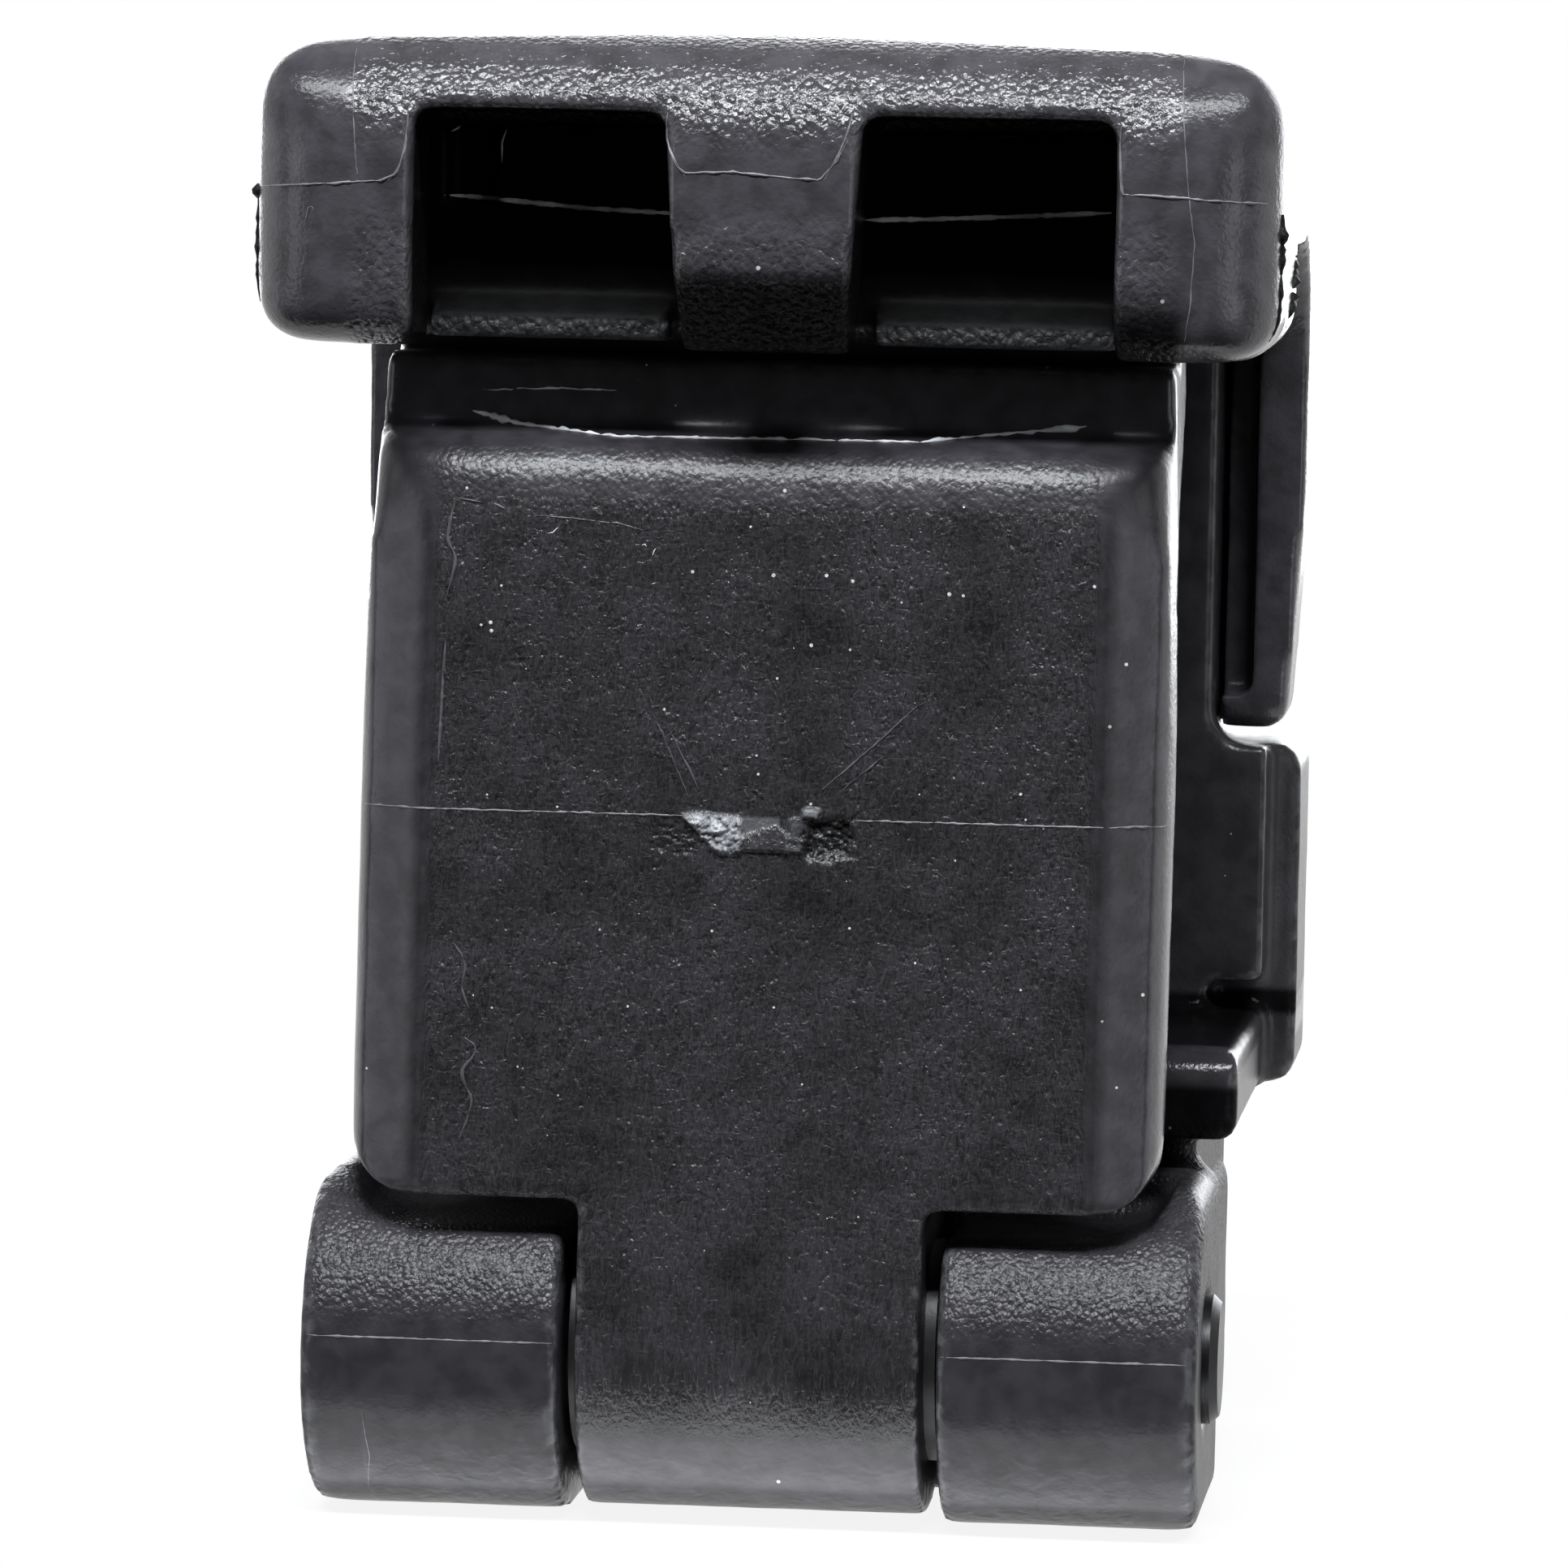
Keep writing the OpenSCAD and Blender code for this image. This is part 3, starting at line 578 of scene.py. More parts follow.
@dataclass
class MouldedPiece:
    """One moulding: the CAD node with softened edges and an uneven, grained skin."""

    node: str
    body: Body
    slot: str
    finish: MouldedFinish
    voxel: float = 0.25
    rounds: int = 4
    sway: float = 0.02
    seed: int = 1
    piece: bpy.types.Object = field(init=False, repr=False)
    skin: BVHTree = field(init=False, repr=False)
    SMOOTHING = 0.5
    SEED_STEP = (17.3, -5.1, 3.7)
    BROAD_WAVE, FINE_WAVE, FINE_SHARE = 0.33, 1.1, 0.45
    FULL_TURN = 0.12
    SIGHT_START, LEAST_GAP = 40, 0.3

    def build(self) -> None:
        """Makes the moulding's mesh from its node."""
        self.piece = node_copy(self.node, self.node + "_moulding")
        remesh = self.piece.modifiers.new("even_skin", "REMESH")
        remesh.mode, remesh.voxel_size, remesh.adaptivity = "VOXEL", self.voxel * MM, 0.0
        soften = self.piece.modifiers.new("soft_edges", "SMOOTH")
        soften.factor, soften.iterations = self.SMOOTHING, self.rounds
        set_plain(self.piece)
        self.shape()
        self.measure_edges()
        self.skin = self.surface()

    def shape(self) -> None:
        """Gives the skin the slight waves that a cooled moulding has."""
        offset = Vector([step * self.seed for step in self.SEED_STEP])
        mesh = self.piece.data
        normals = [v.normal.copy() for v in mesh.vertices]
        for vertex, normal in zip(mesh.vertices, normals):
            at = vertex.co / MM + offset
            fine = self.FINE_SHARE * noise.noise(at * self.FINE_WAVE)
            lift = noise.noise(at * self.BROAD_WAVE) + fine
            vertex.co += normal * (lift * self.sway * MM)
        mesh.update()

    def soften(self, chosen: Callable[[Vector], bool], rounds: int) -> None:
        """Rounds the skin further where a test on the place, in millimetres, picks it."""
        with edited(self.piece.data) as work:
            near = [v for v in work.verts if chosen(v.co / MM)]
            for _ in range(rounds):
                bmesh.ops.smooth_vert(work, verts=near, factor=self.SMOOTHING,
                                      use_axis_x=True, use_axis_y=True, use_axis_z=True)

    def measure_edges(self) -> None:
        """Stores how sharply the skin turns at each point, for wear along edges."""
        turns: list[float] = []
        with edited(self.piece.data) as work:
            for vertex in work.verts:
                near = [e.other_vert(vertex).co for e in vertex.link_edges]
                middle = sum(near, Vector()) / max(len(near), 1)
                turns.append((vertex.co - middle).dot(vertex.normal) / (self.voxel * MM))
        self.store("edge", [unit(turn / self.FULL_TURN) for turn in turns])

    def store(self, name: str, values: Sequence[float]) -> None:
        """Keeps one number for each point of the mesh under a name."""
        made = self.piece.data.attributes.new(name, "FLOAT", "POINT")
        made.data.foreach_set("value", values)

    def surface(self) -> BVHTree:
        """A search tree of the skin as it stands."""
        mesh = self.piece.data
        return BVHTree.FromPolygons([v.co for v in mesh.vertices],
                                    [p.vertices[:] for p in mesh.polygons])

    def dress(self) -> None:
        """Gives the moulding its finish and ties it to the frame."""
        set_material(self.piece.data, self.finish.material())
        set_smooth(self.piece.data)
        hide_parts(self.node)
        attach(self.piece, self.body.value)
        log.info("%s: %d faces on %s", self.piece.name, len(self.piece.data.polygons),
                 self.body.value)

    def lay(self, path: PathXZ, facing: Facing, step: float = 0.12) -> list[Vector]:
        """Lays a path, drawn in one of the plain views, on the skin.

        Args:
            path: Points across and up in that view, in millimetres.
            facing: The view.
            step: The distance between the points laid, in millimetres.

        Returns:
            Points on the skin, in metres.
        """
        sight = Vector(facing.value)
        gap = self.LEAST_GAP * step * MM
        laid: list[Vector] = []
        for (au, az), (bu, bz) in zip(path, path[1:]):
            count = max(1, round(math.hypot(bu - au, bz - az) / step))
            for i in range(count + 1):
                u, z = au + (bu - au) * i / count, az + (bz - az) * i / count
                across = Vector((u, 0, z) if facing is Facing.FRONT else (0, u, z))
                spot = self.skin.ray_cast((across - sight * self.SIGHT_START) * MM, sight)[0]
                if spot is not None and (not laid or (spot - laid[-1]).length > gap):
                    laid.append(spot)
        return laid


class LineTree(Nodes):
    """The node tree that turns laid paths into thin, uneven raised lines."""

    NUMBERS = ("Ridge Radius", "Wander", "Step", "Seed", "Least Swell")
    ROUGHNESS, LUMP_RANGE, MOST_SWELL, SIDES = 3500.0, (0.3, 0.7), 1.55, 6

    def __init__(self) -> None:
        """Builds the tree and keeps its inputs' identifiers."""
        super().__init__(bpy.data.node_groups.new("raised_mould_line", "GeometryNodeTree"))
        self.socket("Geometry", "Geometry")
        self.keys = {label: self.socket(label, "Float") for label in self.NUMBERS}
        self.keys["Finish"] = self.socket("Finish", "Material")
        self.socket("Geometry", "Geometry", "OUTPUT")
        self.fill()

    def socket(self, label: str, kind: str, side: str = "INPUT") -> str:
        """Adds an input or output to the tree, and returns its identifier."""
        made = self.tree.interface.new_socket(label, in_out=side, socket_type="NodeSocket" + kind)
        return made.identifier

    def fill(self) -> None:
        """Adds the tree's nodes and joins them."""
        given = self.add("NodeGroupInput").outputs
        curve = self.add("GeometryNodeMeshToCurve", {"Mesh": given["Geometry"]})
        even = self.add(
            "GeometryNodeResampleCurve", {"Curve": curve, "Length": given["Step"]}, mode="LENGTH")
        rough = self.add("ShaderNodeTexNoise", {"W": given["Seed"], "Scale": self.ROUGHNESS},
                         noise_dimensions="4D").outputs
        centred = self.add("ShaderNodeVectorMath", {0: rough["Color"], 1: (0.5, 0.5, 0.5)},
                           operation="SUBTRACT")
        shift = self.add(
            "ShaderNodeVectorMath", {0: centred, "Scale": given["Wander"]}, operation="SCALE")
        moved = self.add("GeometryNodeSetPosition", {"Geometry": even, "Offset": shift})
        swell = self.add("GeometryNodeInputNamedAttribute", {"Name": "swell"}, data_type="FLOAT")
        lumps = self.add("ShaderNodeMapRange", {
            "Value": rough["Fac"], "From Min": self.LUMP_RANGE[0], "From Max": self.LUMP_RANGE[1],
            "To Min": given["Least Swell"], "To Max": self.MOST_SWELL})
        ring = self.add("GeometryNodeCurvePrimitiveCircle",
                        {"Resolution": self.SIDES, "Radius": given["Ridge Radius"]})
        tube = self.add("GeometryNodeCurveToMesh", {
            "Curve": moved, "Profile Curve": ring, "Scale": self.times(lumps, swell),
            "Fill Caps": True})
        solid = self.add("GeometryNodeRealizeInstances", {0: tube})
        finish = self.add(
            "GeometryNodeSetMaterial", {"Geometry": solid, "Material": given["Finish"]})
        self.add("NodeGroupOutput", {"Geometry": finish})


def eased(path: PathXZ, cuts: int = 6) -> PathXZ:
    """Draws a path as one smooth curve through its points."""
    points = [Vector(p) for p in (path[0], *path, path[-1])]
    made: list[Pair] = []
    for a, b, c, d in zip(points, points[1:], points[2:], points[3:]):
        for t in (i / cuts for i in range(cuts)):
            bend = 2 * a - 5 * b + 4 * c - d + t * (3 * (b - c) + d - a)
            at = b + 0.5 * t * (c - a + t * bend)
            made.append((at.x, at.y))
    return tuple(made) + (tuple(path[-1]),)


@dataclass(frozen=True)
class Marks:
    """Mould marks of one kind: their paths in a plain view and their thickness."""

    paths: Paths
    radius: float
    facing: Facing = Facing.FRONT
    curved: bool = False


@dataclass
class MarkSet:
    """All the raised lines of one moulding, as one piece."""

    name: str
    owner: MouldedPiece
    marks: Sequence[Marks]
    wander: float
    seed: int
    finish: MouldedFinish = LINE_HIGHLIGHT_FINISH
    least: float = 0.1
    tree: ClassVar[Optional[LineTree]] = None
    STEP, LONGEST_JOIN = 0.14, 0.8
    TIP_POINTS, TIP_SHARE, TIP_GROWTH = 6, 0.3, 0.7

    def laid_mesh(self) -> bpy.types.Mesh:
        """Lays the marks on their moulding, as edges with a swell that thins at the tips."""
        points: list[Vector] = []
        edges: list[tuple[int, int]] = []
        swell: list[float] = []
        for mark, path in ((mark, path) for mark in self.marks for path in mark.paths):
            laid = self.owner.lay(eased(path) if mark.curved else path, mark.facing)
            first, last = len(points), len(laid) - 1
            points += laid
            edges += [(first + i, first + i + 1) for i in range(last)
                      if (laid[i + 1] - laid[i]).length < self.LONGEST_JOIN * MM]
            tip = min(self.TIP_POINTS, max(1, len(laid) // 3))
            swell += [mark.radius
                      * min(1.0, self.TIP_SHARE + self.TIP_GROWTH * min(i, last - i) / tip)
                      for i in range(len(laid))]
        mesh = bpy.data.meshes.new(self.name)
        mesh.from_pydata(points, edges, [])
        mesh.attributes.new("swell", "FLOAT", "POINT").data.foreach_set("value", swell)
        return mesh

    def draw(self) -> None:
        """Turns the laid marks into raised lines and ties them to the frame."""
        if MarkSet.tree is None:
            MarkSet.tree = LineTree()
        piece = add_object(self.name, self.laid_mesh())
        lines = piece.modifiers.new("raised_lines", "NODES")
        lines.node_group = MarkSet.tree.tree
        values = {"Ridge Radius": MM, "Wander": self.wander * MM, "Step": self.STEP * MM,
                  "Seed": float(self.seed), "Least Swell": self.least,
                  "Finish": self.finish.material()}
        for label, value in values.items():
            lines[MarkSet.tree.keys[label]] = value
        set_plain(piece)
        set_smooth(piece.data)
        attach(piece, self.owner.body.value)
        log.info("%s: %d faces", piece.name, len(piece.data.polygons))


@dataclass
class HornHead(MouldedPiece):
    """The horn on top, with its fingers, its parting line and its torn flash."""

    parting: Paths = (
        ((-15.3, 40.9), (-14.94, 40.94), (-13.21, 41.05), (-11.49, 41.19), (-11.05, 41.39),
         (-10.76, 42.11)),
        ((-2.9, 42.6), (-2.7, 42.1), (-2.36, 41.59), (-0.94, 41.67), (0.53, 41.55), (1.75, 41.48),
         (2.23, 42.03), (2.58, 42.7)),
        ((10.7, 42.2), (10.81, 41.25), (12.21, 41.21), (13.67, 41.12), (15.12, 41.05)))
    witness: Paths = (
        ((-12.54, 45.1), (-12.47, 43.9), (-12.23, 41.34)),
        ((12.47, 45.3), (12.6, 43.46), (12.82, 41.17), (13.02, 39.85), (12.92, 37.91),
         (12.76, 36.9)),
        ((-13.85, 39.75), (-13.8, 40.01), (-13.71, 40.36), (-13.54, 40.36), (-13.61, 40.17)))
    edges: Paths = (
        ((-2.9, 43.4), (-2.92, 43.1), (-2.9, 42.6), (-2.75, 42.16), (-2.57, 41.82), (-2.3, 41.5)),
        ((2.66, 43.5), (2.62, 43.2), (2.48, 42.7), (2.26, 42.17), (1.9, 41.5)),
        ((-10.75, 43.2), (-10.75, 42.9), (-10.8, 42.2), (-10.95, 41.6), (-11.3, 41.16)),
        ((10.75, 43.3), (10.72, 42.7), (10.75, 41.95), (10.85, 41.3)))
    torn_left: Paths = (
        ((-16.9, 40.95), (-16.9, 40.75), (-16.85, 40.5)),
        ((-16.9, 40.6), (-16.9, 39.9), (-16.9, 39.2), (-16.9, 38.3), (-16.9, 37.5)),
        ((-16.9, 37.65), (-16.85, 37.4)))
    torn_right: Paths = (
        ((-17.0, 40.7), (-16.95, 40.2), (-16.95, 39.5), (-17.0, 38.9)),
        ((-17.0, 39.0), (-17.0, 38.0), (-16.95, 36.9)),
        ((-11.2, 39.3), (-11.8, 38.9), (-12.6, 38.4), (-13.4, 37.7), (-13.6, 37.2)))
    torn_radii: Sequence[float] = (0.2, 0.1, 0.17)
    END_START, END_DEPTH, END_ROUNDS = 12.6, -15.6, 30

    def shape(self) -> None:
        """Rounds the horn's two ends, then waves the skin."""
        self.soften(lambda at: abs(at.x) > self.END_START and at.y < self.END_DEPTH,
                    self.END_ROUNDS)
        super().shape()

    def mark(self) -> None:
        """Draws the horn's mould lines and the torn flash at its ends."""
        lines = (Marks(self.parting, 0.045), Marks(self.witness, 0.025), Marks(self.edges, 0.05))
        MarkSet("horn_mould_lines", self, lines, 0.09, 11).draw()
        ends = ((Facing.LEFT, self.torn_left), (Facing.RIGHT, self.torn_right))
        torn = [Marks((path,), radius, facing) for facing, paths in ends
                for path, radius in zip(paths, self.torn_radii)]
        MarkSet("horn_torn_flash", self, torn, 0.12, 16, TORN_FINISH).draw()


@dataclass
class CatchBar(MouldedPiece):
    """The bar behind the windows that the gate's catch stops on."""

    parting: Paths = (
        ((-10.2, 40.66), (-7.88, 40.53), (-5.63, 40.36), (-2.9, 40.26)),
        ((2.67, 40.2), (4.79, 40.27), (7.26, 40.4), (10.2, 40.58)))
    ridge: Paths = (
        ((-10.1, 42.6), (-9.72, 42.85), (-9.02, 42.98), (-8.2, 42.95)),
        ((-8.2, 42.95), (-8.46, 42.35), (-8.45, 41.7)))

    def mark(self) -> None:
        """Draws the bar's mould line and the edge of its pad."""
        lines = (Marks(self.parting, 0.07), Marks(self.ridge, 0.03))
        # The bar's mould line and pad edge are painted near white, a painted highlight.
        MarkSet("bar_mould_line", self, lines, 0.04, 12, WHITE_LINE_HIGHLIGHT_FINISH, 0.7).draw()


@dataclass
class Base(MouldedPiece):
    """The fixed base with its two ears, floor, post and shoulders."""

    parting: Paths = (((-13.6, 5.84), (-5.95, 5.84)), ((5.95, 5.84), (13.6, 5.84)))
    edge_of_grain: Paths = (((-11.8, 3.48), (-11.65, 1.98), (-11.88, 0.71)),)
    LIP_CENTRE, LIP_RADIUS, LIP_HEIGHT = (0.0, -7.1, 13.3), 1.1, 1.5

    def shape(self) -> None:
        """Waves the skin and rounds the floor's front edge."""
        super().shape()
        centre, radius = Vector(self.LIP_CENTRE) * MM, self.LIP_RADIUS * MM
        for vertex in self.piece.data.vertices:
            off = vertex.co - centre
            off.x = 0.0
            if off.y < 0 < off.z < self.LIP_HEIGHT * MM and off.length > radius:
                vertex.co += off.normalized() * radius - off
        self.piece.data.update()

    def mark(self) -> None:
        """Draws the ears' mould lines."""
        lines = (Marks(self.parting, 0.035), Marks(self.edge_of_grain, 0.014))
        MarkSet("ear_mould_lines", self, lines, 0.05, 13).draw()


def soft_step(value: float, width: float = 0.06) -> float:
    """A step from 0 to 1 about zero."""
    t = unit(value / width * 0.5 + 0.5)
    return t * t * (3 - 2 * t)


def within(low: float, high: float, value: float, width: float = 0.06) -> float:
    """A window with soft ends from low to high."""
    return soft_step(value - low, width) * soft_step(high - value, width)


@dataclass
class Gate(MouldedPiece):
    """The sprung gate, with the broken runner's scar in the middle of its face."""

    parting: Paths = (((-12.3, 22.0), (-2.2, 22.0)), ((2.7, 22.0), (12.4, 22.0)))
    flash: Paths = (
        ((-9.51, 34.02), (-7.81, 33.63), (-4.77, 33.39), (1.12, 33.43), (4.47, 33.44),
         (9.46, 33.99)),)
    thick: Paths = (
        ((-9.5, 34.02), (-8.9, 33.88), (-7.9, 33.65), (-7.3, 33.6)), ((8.2, 33.84), (9.4, 33.98)))
    fainter: Paths = (((-9.17, 34.67), (-7.03, 34.78), (-5.02, 34.75)),)
    scratches: Paths = (
        ((-9.32, 17.93), (-8.93, 17.32), (-8.99, 16.57), (-8.78, 15.95)),
        ((-9.15, 15.19), (-8.51, 14.71), (-8.95, 13.95), (-8.61, 13.08), (-8.97, 11.95)),
        ((-9.6, 31.46), (-9.81, 30.24), (-9.55, 29.65), (-9.78, 28.48)),
        ((-9.8, 27.14), (-9.85, 25.46), (-9.92, 23.44)))
    flow: Paths = (
        ((-9.55, 31.48), (-8.78, 31.36)), ((-8.45, 31.36), (-8.03, 31.15)),
        ((-7.18, 31.0), (-4.91, 30.86), (-3.82, 30.64)),
        ((-3.37, 25.12), (-2.6, 23.5), (-2.2, 22.56)), ((-2.86, 24.64), (-1.89, 22.82)),
        ((1.88, 22.92), (2.61, 23.56), (3.46, 24.33), (4.79, 25.6)),
        ((2.38, 22.81), (3.71, 23.96)))
    fibres: Paths = (
        ((-6.72, 30.49), (-6.57, 30.52), (-6.35, 30.7)),
        ((-3.91, 30.17), (-3.76, 30.25), (-3.61, 30.06)), ((-3.39, 30.16), (-3.51, 29.89)),
        ((-3.95, 29.65), (-3.75, 29.63)), ((-3.61, 28.97), (-3.32, 29.08)))
    chips: Sequence[Pair] = ((-1.33, 21.68), (-1.9, 21.86))
    SCAR_X, SCAR_Z, SCAR_DEPTH = (-3.4, 3.1), (20.6, 22.5), -0.0135
    TOP_Z, TOP_DEPTH, TOP_ROUNDS = (30.6, 34.2), -13.6, 24
    CORNER_Z, CORNER_DEPTH, CORNER_START, CORNER_ROUNDS = (30.2, 34.6), -13.2, 10.0, 16
    BEVEL_START, BEVEL_SLOPE, BEVEL_LIMIT = 10.4, 0.47, 0.6
    BEVEL_LOW, BEVEL_TOP, BEVEL_FADE = 9.0, 33.2, 2.0
    ROW_HEIGHT, ROW_COUNT, ROW_X = 0.25, 98, 7.0
    DRAFT_FOOT, DRAFT_BACK, DRAFT_LENGTH, DRAFT_SHARE = 0.0085, -12.3, 3.0, 0.1

    def shape(self) -> None:
        """Rounds the face's top edge, waves the skin, flattens the bevels and breaks the scar."""
        low, high = self.TOP_Z
        self.soften(lambda at: low < at.z < high and at.y < self.TOP_DEPTH, self.TOP_ROUNDS)
        super().shape()
        self.flatten_bevels()
        self.draft_flank()
        foot, head = self.CORNER_Z
        self.soften(lambda at: (foot < at.z < head and at.y < self.CORNER_DEPTH
                                and abs(at.x) > self.CORNER_START), self.CORNER_ROUNDS)
        self.break_scar()

    def flatten_bevels(self) -> None:
        """Turns the rounded side edges of the face into flat bevels."""
        self.skin = self.surface()
        heights = [self.BEVEL_LOW + self.ROW_HEIGHT * i for i in range(self.ROW_COUNT)]
        faces = [self.lay(((self.ROW_X, z), (self.ROW_X, z)), Facing.FRONT) for z in heights]
        for vertex in self.piece.data.vertices:
            out = abs(vertex.co.x / MM) - self.BEVEL_START
            place = (vertex.co.z / MM - heights[0]) / self.ROW_HEIGHT
            row = math.floor(place)
            if out > 0 and 0 <= row < len(heights) - 1 and faces[row] and faces[row + 1]:
                front = faces[row][0].lerp(faces[row + 1][0], place - row).y
                fade = unit((self.BEVEL_TOP - vertex.co.z / MM) / self.BEVEL_FADE)
                least = front + out * self.BEVEL_SLOPE * fade * MM
                if vertex.co.y < least < vertex.co.y + self.BEVEL_LIMIT * MM:
                    vertex.co.y = least
        self.piece.data.update()

    def draft_flank(self) -> None:
        """Draws the right flank in a little towards the front, as a mould's draft does."""
        for vertex in self.piece.data.vertices:
            out = vertex.co.x / MM - self.BEVEL_START
            if out > 0 and vertex.co.z > self.DRAFT_FOOT:
                ahead = max(self.DRAFT_BACK - vertex.co.y / MM, 0.0) / self.DRAFT_LENGTH
                vertex.co.x -= out * self.DRAFT_SHARE * min(ahead, 1.0) * MM
        self.piece.data.update()

    def break_scar(self) -> None:
        """Cuts the scar's patch finer, raises the broken plastic and stores how pale it is, with
        painted shade stored below zero.
        """
        torn: list[float] = []
        with edited(self.piece.data) as work:
            near = [f for f in work.faces if self.in_scar(f.calc_center_median())]
            edges = list({e for f in near for e in f.edges})
            bmesh.ops.subdivide_edges(work, edges=edges, cuts=3, use_grid_fill=True)
            bmesh.ops.triangulate(work, faces=[f for f in work.faces if len(f.verts) > 4])
            work.normal_update()
            for vertex in work.verts:
                x, z = vertex.co.x / MM, vertex.co.z / MM
                lift, pale = self.scar(x, z) if self.in_scar(vertex.co) else (0.0, 0.0)
                vertex.co.y -= lift * MM
                torn.append(pale)
        self.store("torn", torn)

    def in_scar(self, at: Vector) -> bool:
        """Whether a point on the front face lies in the scar's patch."""
        return (at.y < self.SCAR_DEPTH and self.SCAR_X[0] < at.x / MM < self.SCAR_X[1]
                and self.SCAR_Z[0] < at.z / MM < self.SCAR_Z[1])

    def scar(self, x: float, z: float) -> Pair:
        """How far the scar stands out at a place on the face.

        Args:
            x: The place across, in millimetres.
            z: The place up, in millimetres.

        Returns:
            The lift in millimetres, and how pale the torn plastic is; below zero it is painted
            shade in the pit and under the slab, and the mottled patch painted darker.
        """
        at = Vector((x, z, 0.0))
        fray = 0.1 * noise.noise(at * 3.1) + 0.07 * noise.noise(at * 8.0)
        crags = (0.5 + 0.5 * noise.noise(at * 5.3 + Vector((0, 0, 4.0)))
                 + 0.4 * noise.noise(at * 12.0))
        top = min(21.4 + 0.36 * (x + 0.62), 21.8 - 0.75 * (x - 0.5))
        foot = 21.95 - 1.1 * unit((x + 2.4) / 1.2)
        slab = within(-0.62, 0.9, x + 0.25 * fray) * within(20.99, top, z)
        strip = within(-1.16, 0.6, x) * within(top, 22.02, z + 0.3 * fray)
        web = within(0.8, 1.45, x + fray) * within(20.92, 22.0, z + fray)
        flake = within(1.29, 1.87, x + fray) * within(22.04, 22.3, z + 0.5 * fray)
        # The pit is sunk and painted nearly black: painted shade in it.
        pit = within(1.45, 2.8, x + 1.4 * fray, 0.2) * within(20.88, 21.93, z + 1.4 * fray, 0.2)
        shard = within(-2.4, -0.55, x + fray) * within(foot, 22.05, z + fray, 0.1)
        chips = sum(math.exp(-((x - cx) ** 2 + (z - cz) ** 2) / 0.03) for cx, cz in self.chips)
        mottle = within(-3.3, -1.9, x + fray, 0.3) * within(20.85, foot, z + fray, 0.2)
        # A painted shadow along the foot of the slab.
        under = within(-0.8, 1.5, x) * within(20.78, 20.96, z + 0.3 * fray)
        lift = (slab * (0.04 + 0.1 * (21.8 - z)) + 0.26 * shard * crags + 0.1 * chips
                + 0.16 * flake + 0.08 * web * crags - 0.28 * pit * (0.6 + 0.5 * crags)
                - 0.08 * mottle * crags)
        # Pale marks whitened torn plastic; the pit, the line under the slab and the mottled patch
        # take painted shade.
        pale = (shard * (0.08 + 0.5 * crags) + 0.8 * chips + 0.02 * slab + 0.14 * strip
                + 0.12 * web * crags + 0.25 * flake - pit * (0.55 + 0.4 * crags)
                - 0.9 * mottle * crags - 0.6 * under)
        return lift, min(max(pale, -1.0), 1.0)

    def mark(self) -> None:
        """Draws the gate's mould lines, rub marks, flash and fibres."""
        MarkSet("gate_mould_lines", self, (Marks(self.parting, 0.04),), 0.1, 14).draw()
        rubs = (Marks(self.scratches, 0.06, curved=True), Marks(self.flow, 0.04, curved=True))
        MarkSet("gate_rub_marks", self, rubs, 0.12, 17, FAINT_FINISH).draw()
        # The neck's flash lines are painted near white, a painted highlight; the fibres take the
        # same light colour.
        flash = (Marks(self.flash, 0.07), Marks(self.fainter, 0.03), Marks(self.thick, 0.11),
                 Marks(self.fibres, 0.022))
        MarkSet("gate_neck_flash", self, flash, 0.16, 15, WHITE_LINE_HIGHLIGHT_FINISH).draw()


@dataclass
class GateSpring:
    """The gate's wire spring, with one leg in the base and the other on the gate."""

    node: str = "gate_spring"
    slot: str = "spring_steel"
    finish: MetalFinish = SPRING_FINISH
    wire: float = 0.8
    piece: bpy.types.Object = field(init=False, repr=False)

    def build(self) -> None:
        """Copies the wire with its sides rounded."""
        self.piece = node_copy(self.node, self.node + "_wire", quads=True)
        rounded = self.piece.modifiers.new("round_wire", "SUBSURF")
        rounded.levels = rounded.render_levels = 1
        set_plain(self.piece)

    def dress(self) -> None:
        """Gives the wire its finish and bakes its place into its mesh."""
        mesh = self.piece.data
        set_material(mesh, self.finish.material())
        set_smooth(mesh)
        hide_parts(self.node)
        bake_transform(self.piece)
        log.info("%s: %d faces, from %s to %s", self.piece.name, len(mesh.polygons),
                 Body.FRAME.value, Body.GATE.value)


@dataclass
class Fastenings:
    """The pin, bushes, screws and inserts, which keep their CAD shapes."""

    finishes: dict[str, object] = field(default_factory=lambda: {
        "hinge_pin": PIN_FINISH, "left_bush": BUSH_FINISH, "right_bush": BUSH_FINISH,
        "head_screws": SCREW_FINISH, "bar_screws": SCREW_FINISH,
        "head_inserts": INSERT_FINISH, "deck_inserts": INSERT_FINISH})

    def dress(self) -> None:
        """Gives each carried-over node its own finish."""
        made: dict[str, bpy.types.Material] = {}
        for node, finish in self.finishes.items():
            if finish.name not in made:
                made[finish.name] = finish.material()
            set_material(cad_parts[node].data, made[finish.name])
            log.info("%s: %s", node, finish.name)


@dataclass(frozen=True)
class SoftBox:
    """One rectangular soft light, in metres and watts, facing a point."""

    name: str
    place: Colour
    aim: Colour
    size: Pair
    power: float
    TINT = (0.94, 0.97, 1.0)

    def hang(self) -> None:
        """Makes the light, unseen by the camera."""
        data = bpy.data.lights.new(self.name, "AREA")
        data.shape, data.energy, data.color = "RECTANGLE", self.power, self.TINT
        data.size, data.size_y = self.size
        made = add_object(self.name, data)
        made.location = self.place
        made.rotation_mode = "QUATERNION"
        made.rotation_quaternion = (Vector(self.aim) - Vector(self.place)).to_track_quat("-Z", "Y")
        made.visible_camera = False


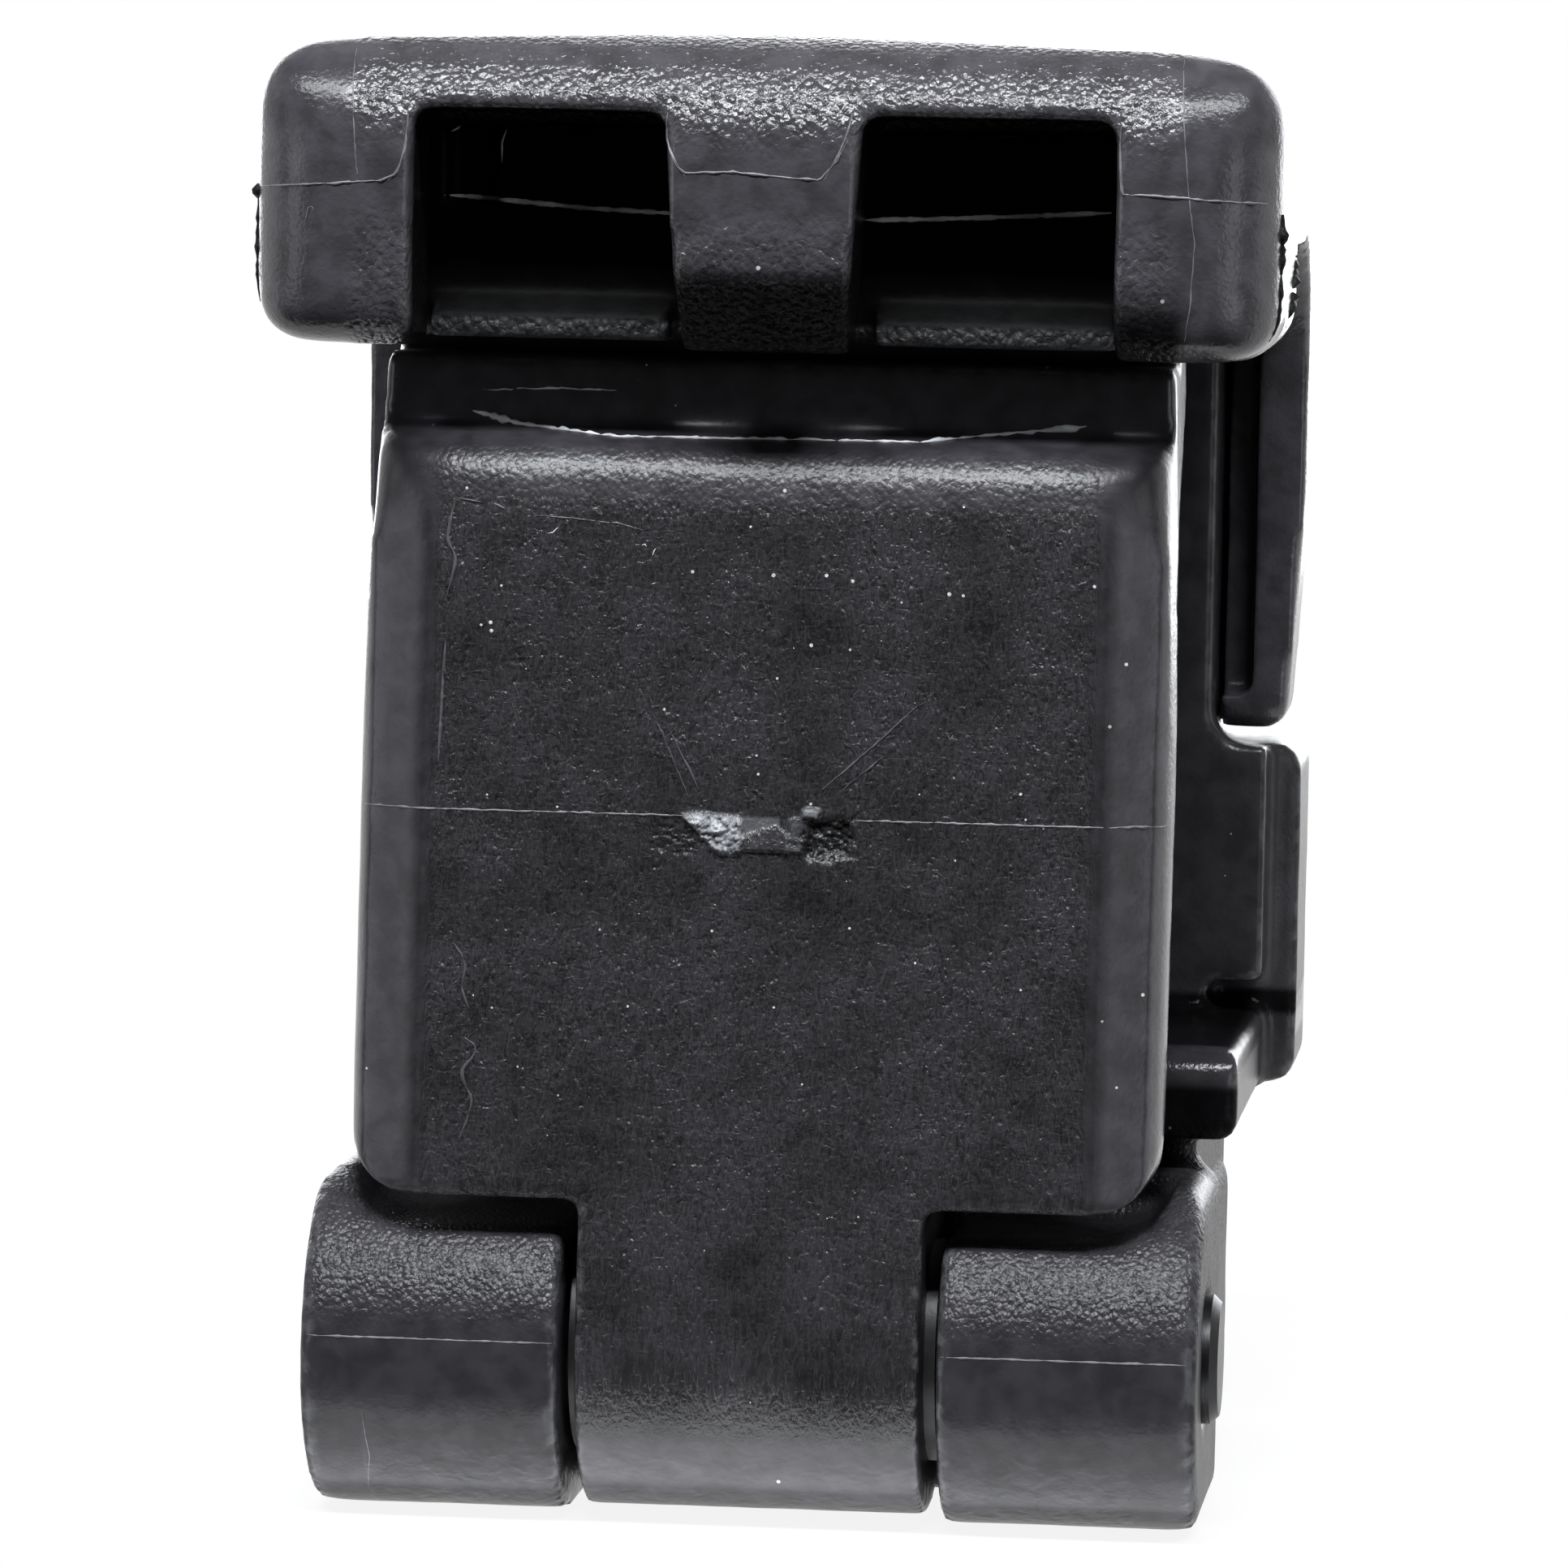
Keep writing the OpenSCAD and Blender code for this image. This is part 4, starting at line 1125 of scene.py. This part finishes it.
@dataclass
class Studio:
    """The camera of the photograph, a pale floor and soft light round the part."""

    yaw: float = 5.937
    pitch: float = 5.0
    roll: float = 1.132
    target: Colour = (1.036, -19.0, 23.326)
    distance: float = 287.0
    focal_pixels: float = 11752.6
    boxes: Sequence[SoftBox] = (
        SoftBox("overhead_box", (0.0, -0.212, 0.322), (0.0, -0.015, 0.03), (0.36, 0.06), 2.95),
        SoftBox("back_panel", (0.02, 0.42, 0.10), (0.0, 0.0, 0.025), (0.7, 0.34), 2.4),
        SoftBox("left_box", (-0.33, -0.23, 0.05), (0.0, -0.015, 0.022), (0.12, 0.26), 0.15),
        SoftBox("right_box", (0.28, -0.29, 0.05), (0.0, -0.015, 0.022), (0.12, 0.26), 0.15),
        SoftBox("low_card", (0.0, -0.0178, 0.0004), (0.0, -0.0178, 0.1), (0.04, 0.006), 0.0013))
    PHOTO_PIXELS, SENSOR, CLIP = 1932, 36.0, (0.01, 20.0)
    FLOOR_SIDE, FLOOR_FRONT, FLOOR_BACK, FLOOR_DROP = 0.9, -0.0208, 1.2, 0.02
    PAPER, SHADOW_REACH, SHADOW_GLOW = 0.82, (0.03, 0.14), 0.88
    TENT_FRONT, TENT_MIDDLE, TENT_BACK = (0.08, 0.05), (0.3, 0.14), (0.56, 1.0)
    GROUND, GROUND_LEVEL, CEILING, CEILING_LEVEL = (-0.35, 0.0), 0.04, (0.35, 0.8), 0.35

    def build(self) -> None:
        """Makes the camera, the floor, the lights and the world."""
        self.camera()
        self.floor()
        for box in self.boxes:
            box.hang()
        self.world()
        bpy.context.scene.view_settings.view_transform = "Standard"

    def camera(self) -> None:
        """Sets the camera at the photograph's place, with its lens and tilt."""
        a, e = math.radians(self.yaw), math.radians(self.pitch)
        back = Vector((math.sin(a) * math.cos(e), -math.cos(a) * math.cos(e), math.sin(e)))
        data = bpy.data.cameras.new("photo_camera")
        data.sensor_width = self.SENSOR
        data.lens = self.focal_pixels / self.PHOTO_PIXELS * self.SENSOR
        data.clip_start, data.clip_end = self.CLIP
        made = add_object("photo_camera", data)
        made.rotation_mode = "QUATERNION"
        made.location = (Vector(self.target) + back * self.distance) * MM
        turn = (-back).to_track_quat("-Z", "Y")
        made.rotation_quaternion = turn @ Quaternion((0, 0, 1), math.radians(self.roll))
        bpy.context.scene.camera = made

    def floor(self) -> None:
        """Lays the pale floor, white to the eye and keeping a faint shadow."""
        side, front, back = self.FLOOR_SIDE, self.FLOOR_FRONT, self.FLOOR_BACK
        corners = [(-side, front, 0), (side, front, 0), (side, back, 0), (-side, back, 0)]
        mesh = bpy.data.meshes.new("studio_floor")
        mesh.from_pydata(corners, [], [(0, 1, 2, 3)])
        made = add_object("studio_floor", mesh)
        made.location.z = -self.FLOOR_DROP * MM
        material = bpy.data.materials.new("floor_paper")
        material.use_nodes = True
        nodes = Nodes(material.node_tree)
        matt = nodes.add("ShaderNodeBsdfDiffuse", {"Color": (*(self.PAPER,) * 3, 1)})
        glow = nodes.add("ShaderNodeEmission")
        rays = nodes.add("ShaderNodeLightPath").outputs
        where = nodes.add("ShaderNodeTexCoord").outputs["Object"]
        reach = nodes.add("ShaderNodeVectorMath", {0: where}, operation="LENGTH")
        away = nodes.step(reach.outputs["Value"], *self.SHADOW_REACH, self.SHADOW_GLOW)
        seen = nodes.merged([rays[f"Is {ray} Ray"] for ray in ("Camera", "Glossy", "Transmission")],
                            "MAXIMUM")
        mix = nodes.add("ShaderNodeMixShader", {0: nodes.times(seen, away), 1: matt, 2: glow})
        nodes.add("ShaderNodeOutputMaterial", {"Surface": mix})
        mesh.materials.append(material)

    def world(self) -> None:
        """A light tent: white behind and at the sides, darker towards the camera."""
        made = bpy.data.worlds.new("light_tent")
        bpy.context.scene.world = made
        made.use_nodes = True
        nodes = Nodes(made.node_tree)
        where = nodes.add("ShaderNodeTexCoord").outputs["Generated"]
        parts = nodes.add("ShaderNodeSeparateXYZ", {0: where}).outputs
        depth = nodes.add("ShaderNodeMapRange",
                          {"Value": parts["Y"], "From Min": -1.0, "From Max": 1.0})
        fade = nodes.add("ShaderNodeValToRGB", {"Fac": depth})
        fade.color_ramp.interpolation = "EASE"
        stops = fade.color_ramp.elements
        for i, (place, level) in enumerate((self.TENT_FRONT, self.TENT_BACK)):
            stops[i].position, stops[i].color = place, (level, level, level, 1)
        place, level = self.TENT_MIDDLE
        stops.new(place).color = (level, level, level, 1)
        above = nodes.step(parts["Z"], *self.GROUND, self.GROUND_LEVEL)
        under = nodes.step(parts["Z"], *self.CEILING, 1.0, self.CEILING_LEVEL)
        strength = nodes.times(above, under)
        lit = nodes.add("ShaderNodeBackground", {"Color": fade, "Strength": strength})
        seen = nodes.add("ShaderNodeBackground", {"Color": (1.0, 1.0, 1.0, 1)})
        eye = nodes.add("ShaderNodeLightPath").outputs["Is Camera Ray"]
        mix = nodes.add("ShaderNodeMixShader", {0: eye, 1: lit, 2: seen})
        nodes.add("ShaderNodeOutputWorld", {"Surface": mix})


def main() -> None:
    """Builds the studio, the mouldings with their marks, and the fastenings."""
    logging.basicConfig(level=logging.INFO, format="%(name)s: %(message)s")
    Studio().build()
    mouldings = (
        Base("base", Body.FRAME, "body_plastic", BASE_FINISH, 0.27, 4, 0.02, 1),
        HornHead("horn_head", Body.FRAME, "body_plastic", HORN_FINISH, 0.25, 4, 0.025, 2),
        CatchBar("catch_bar", Body.FRAME, "bar_plastic", BAR_FINISH, 0.16, 4, 0.015, 3),
        Gate("gate", Body.GATE, "gate_plastic", GATE_FINISH, 0.2, 5, 0.02, 4))
    for moulding in mouldings:
        moulding.build()
        moulding.dress()
        moulding.mark()
    spring = GateSpring()
    spring.build()
    spring.dress()
    Fastenings().dress()
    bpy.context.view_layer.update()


if __name__ == "__main__":
    main()
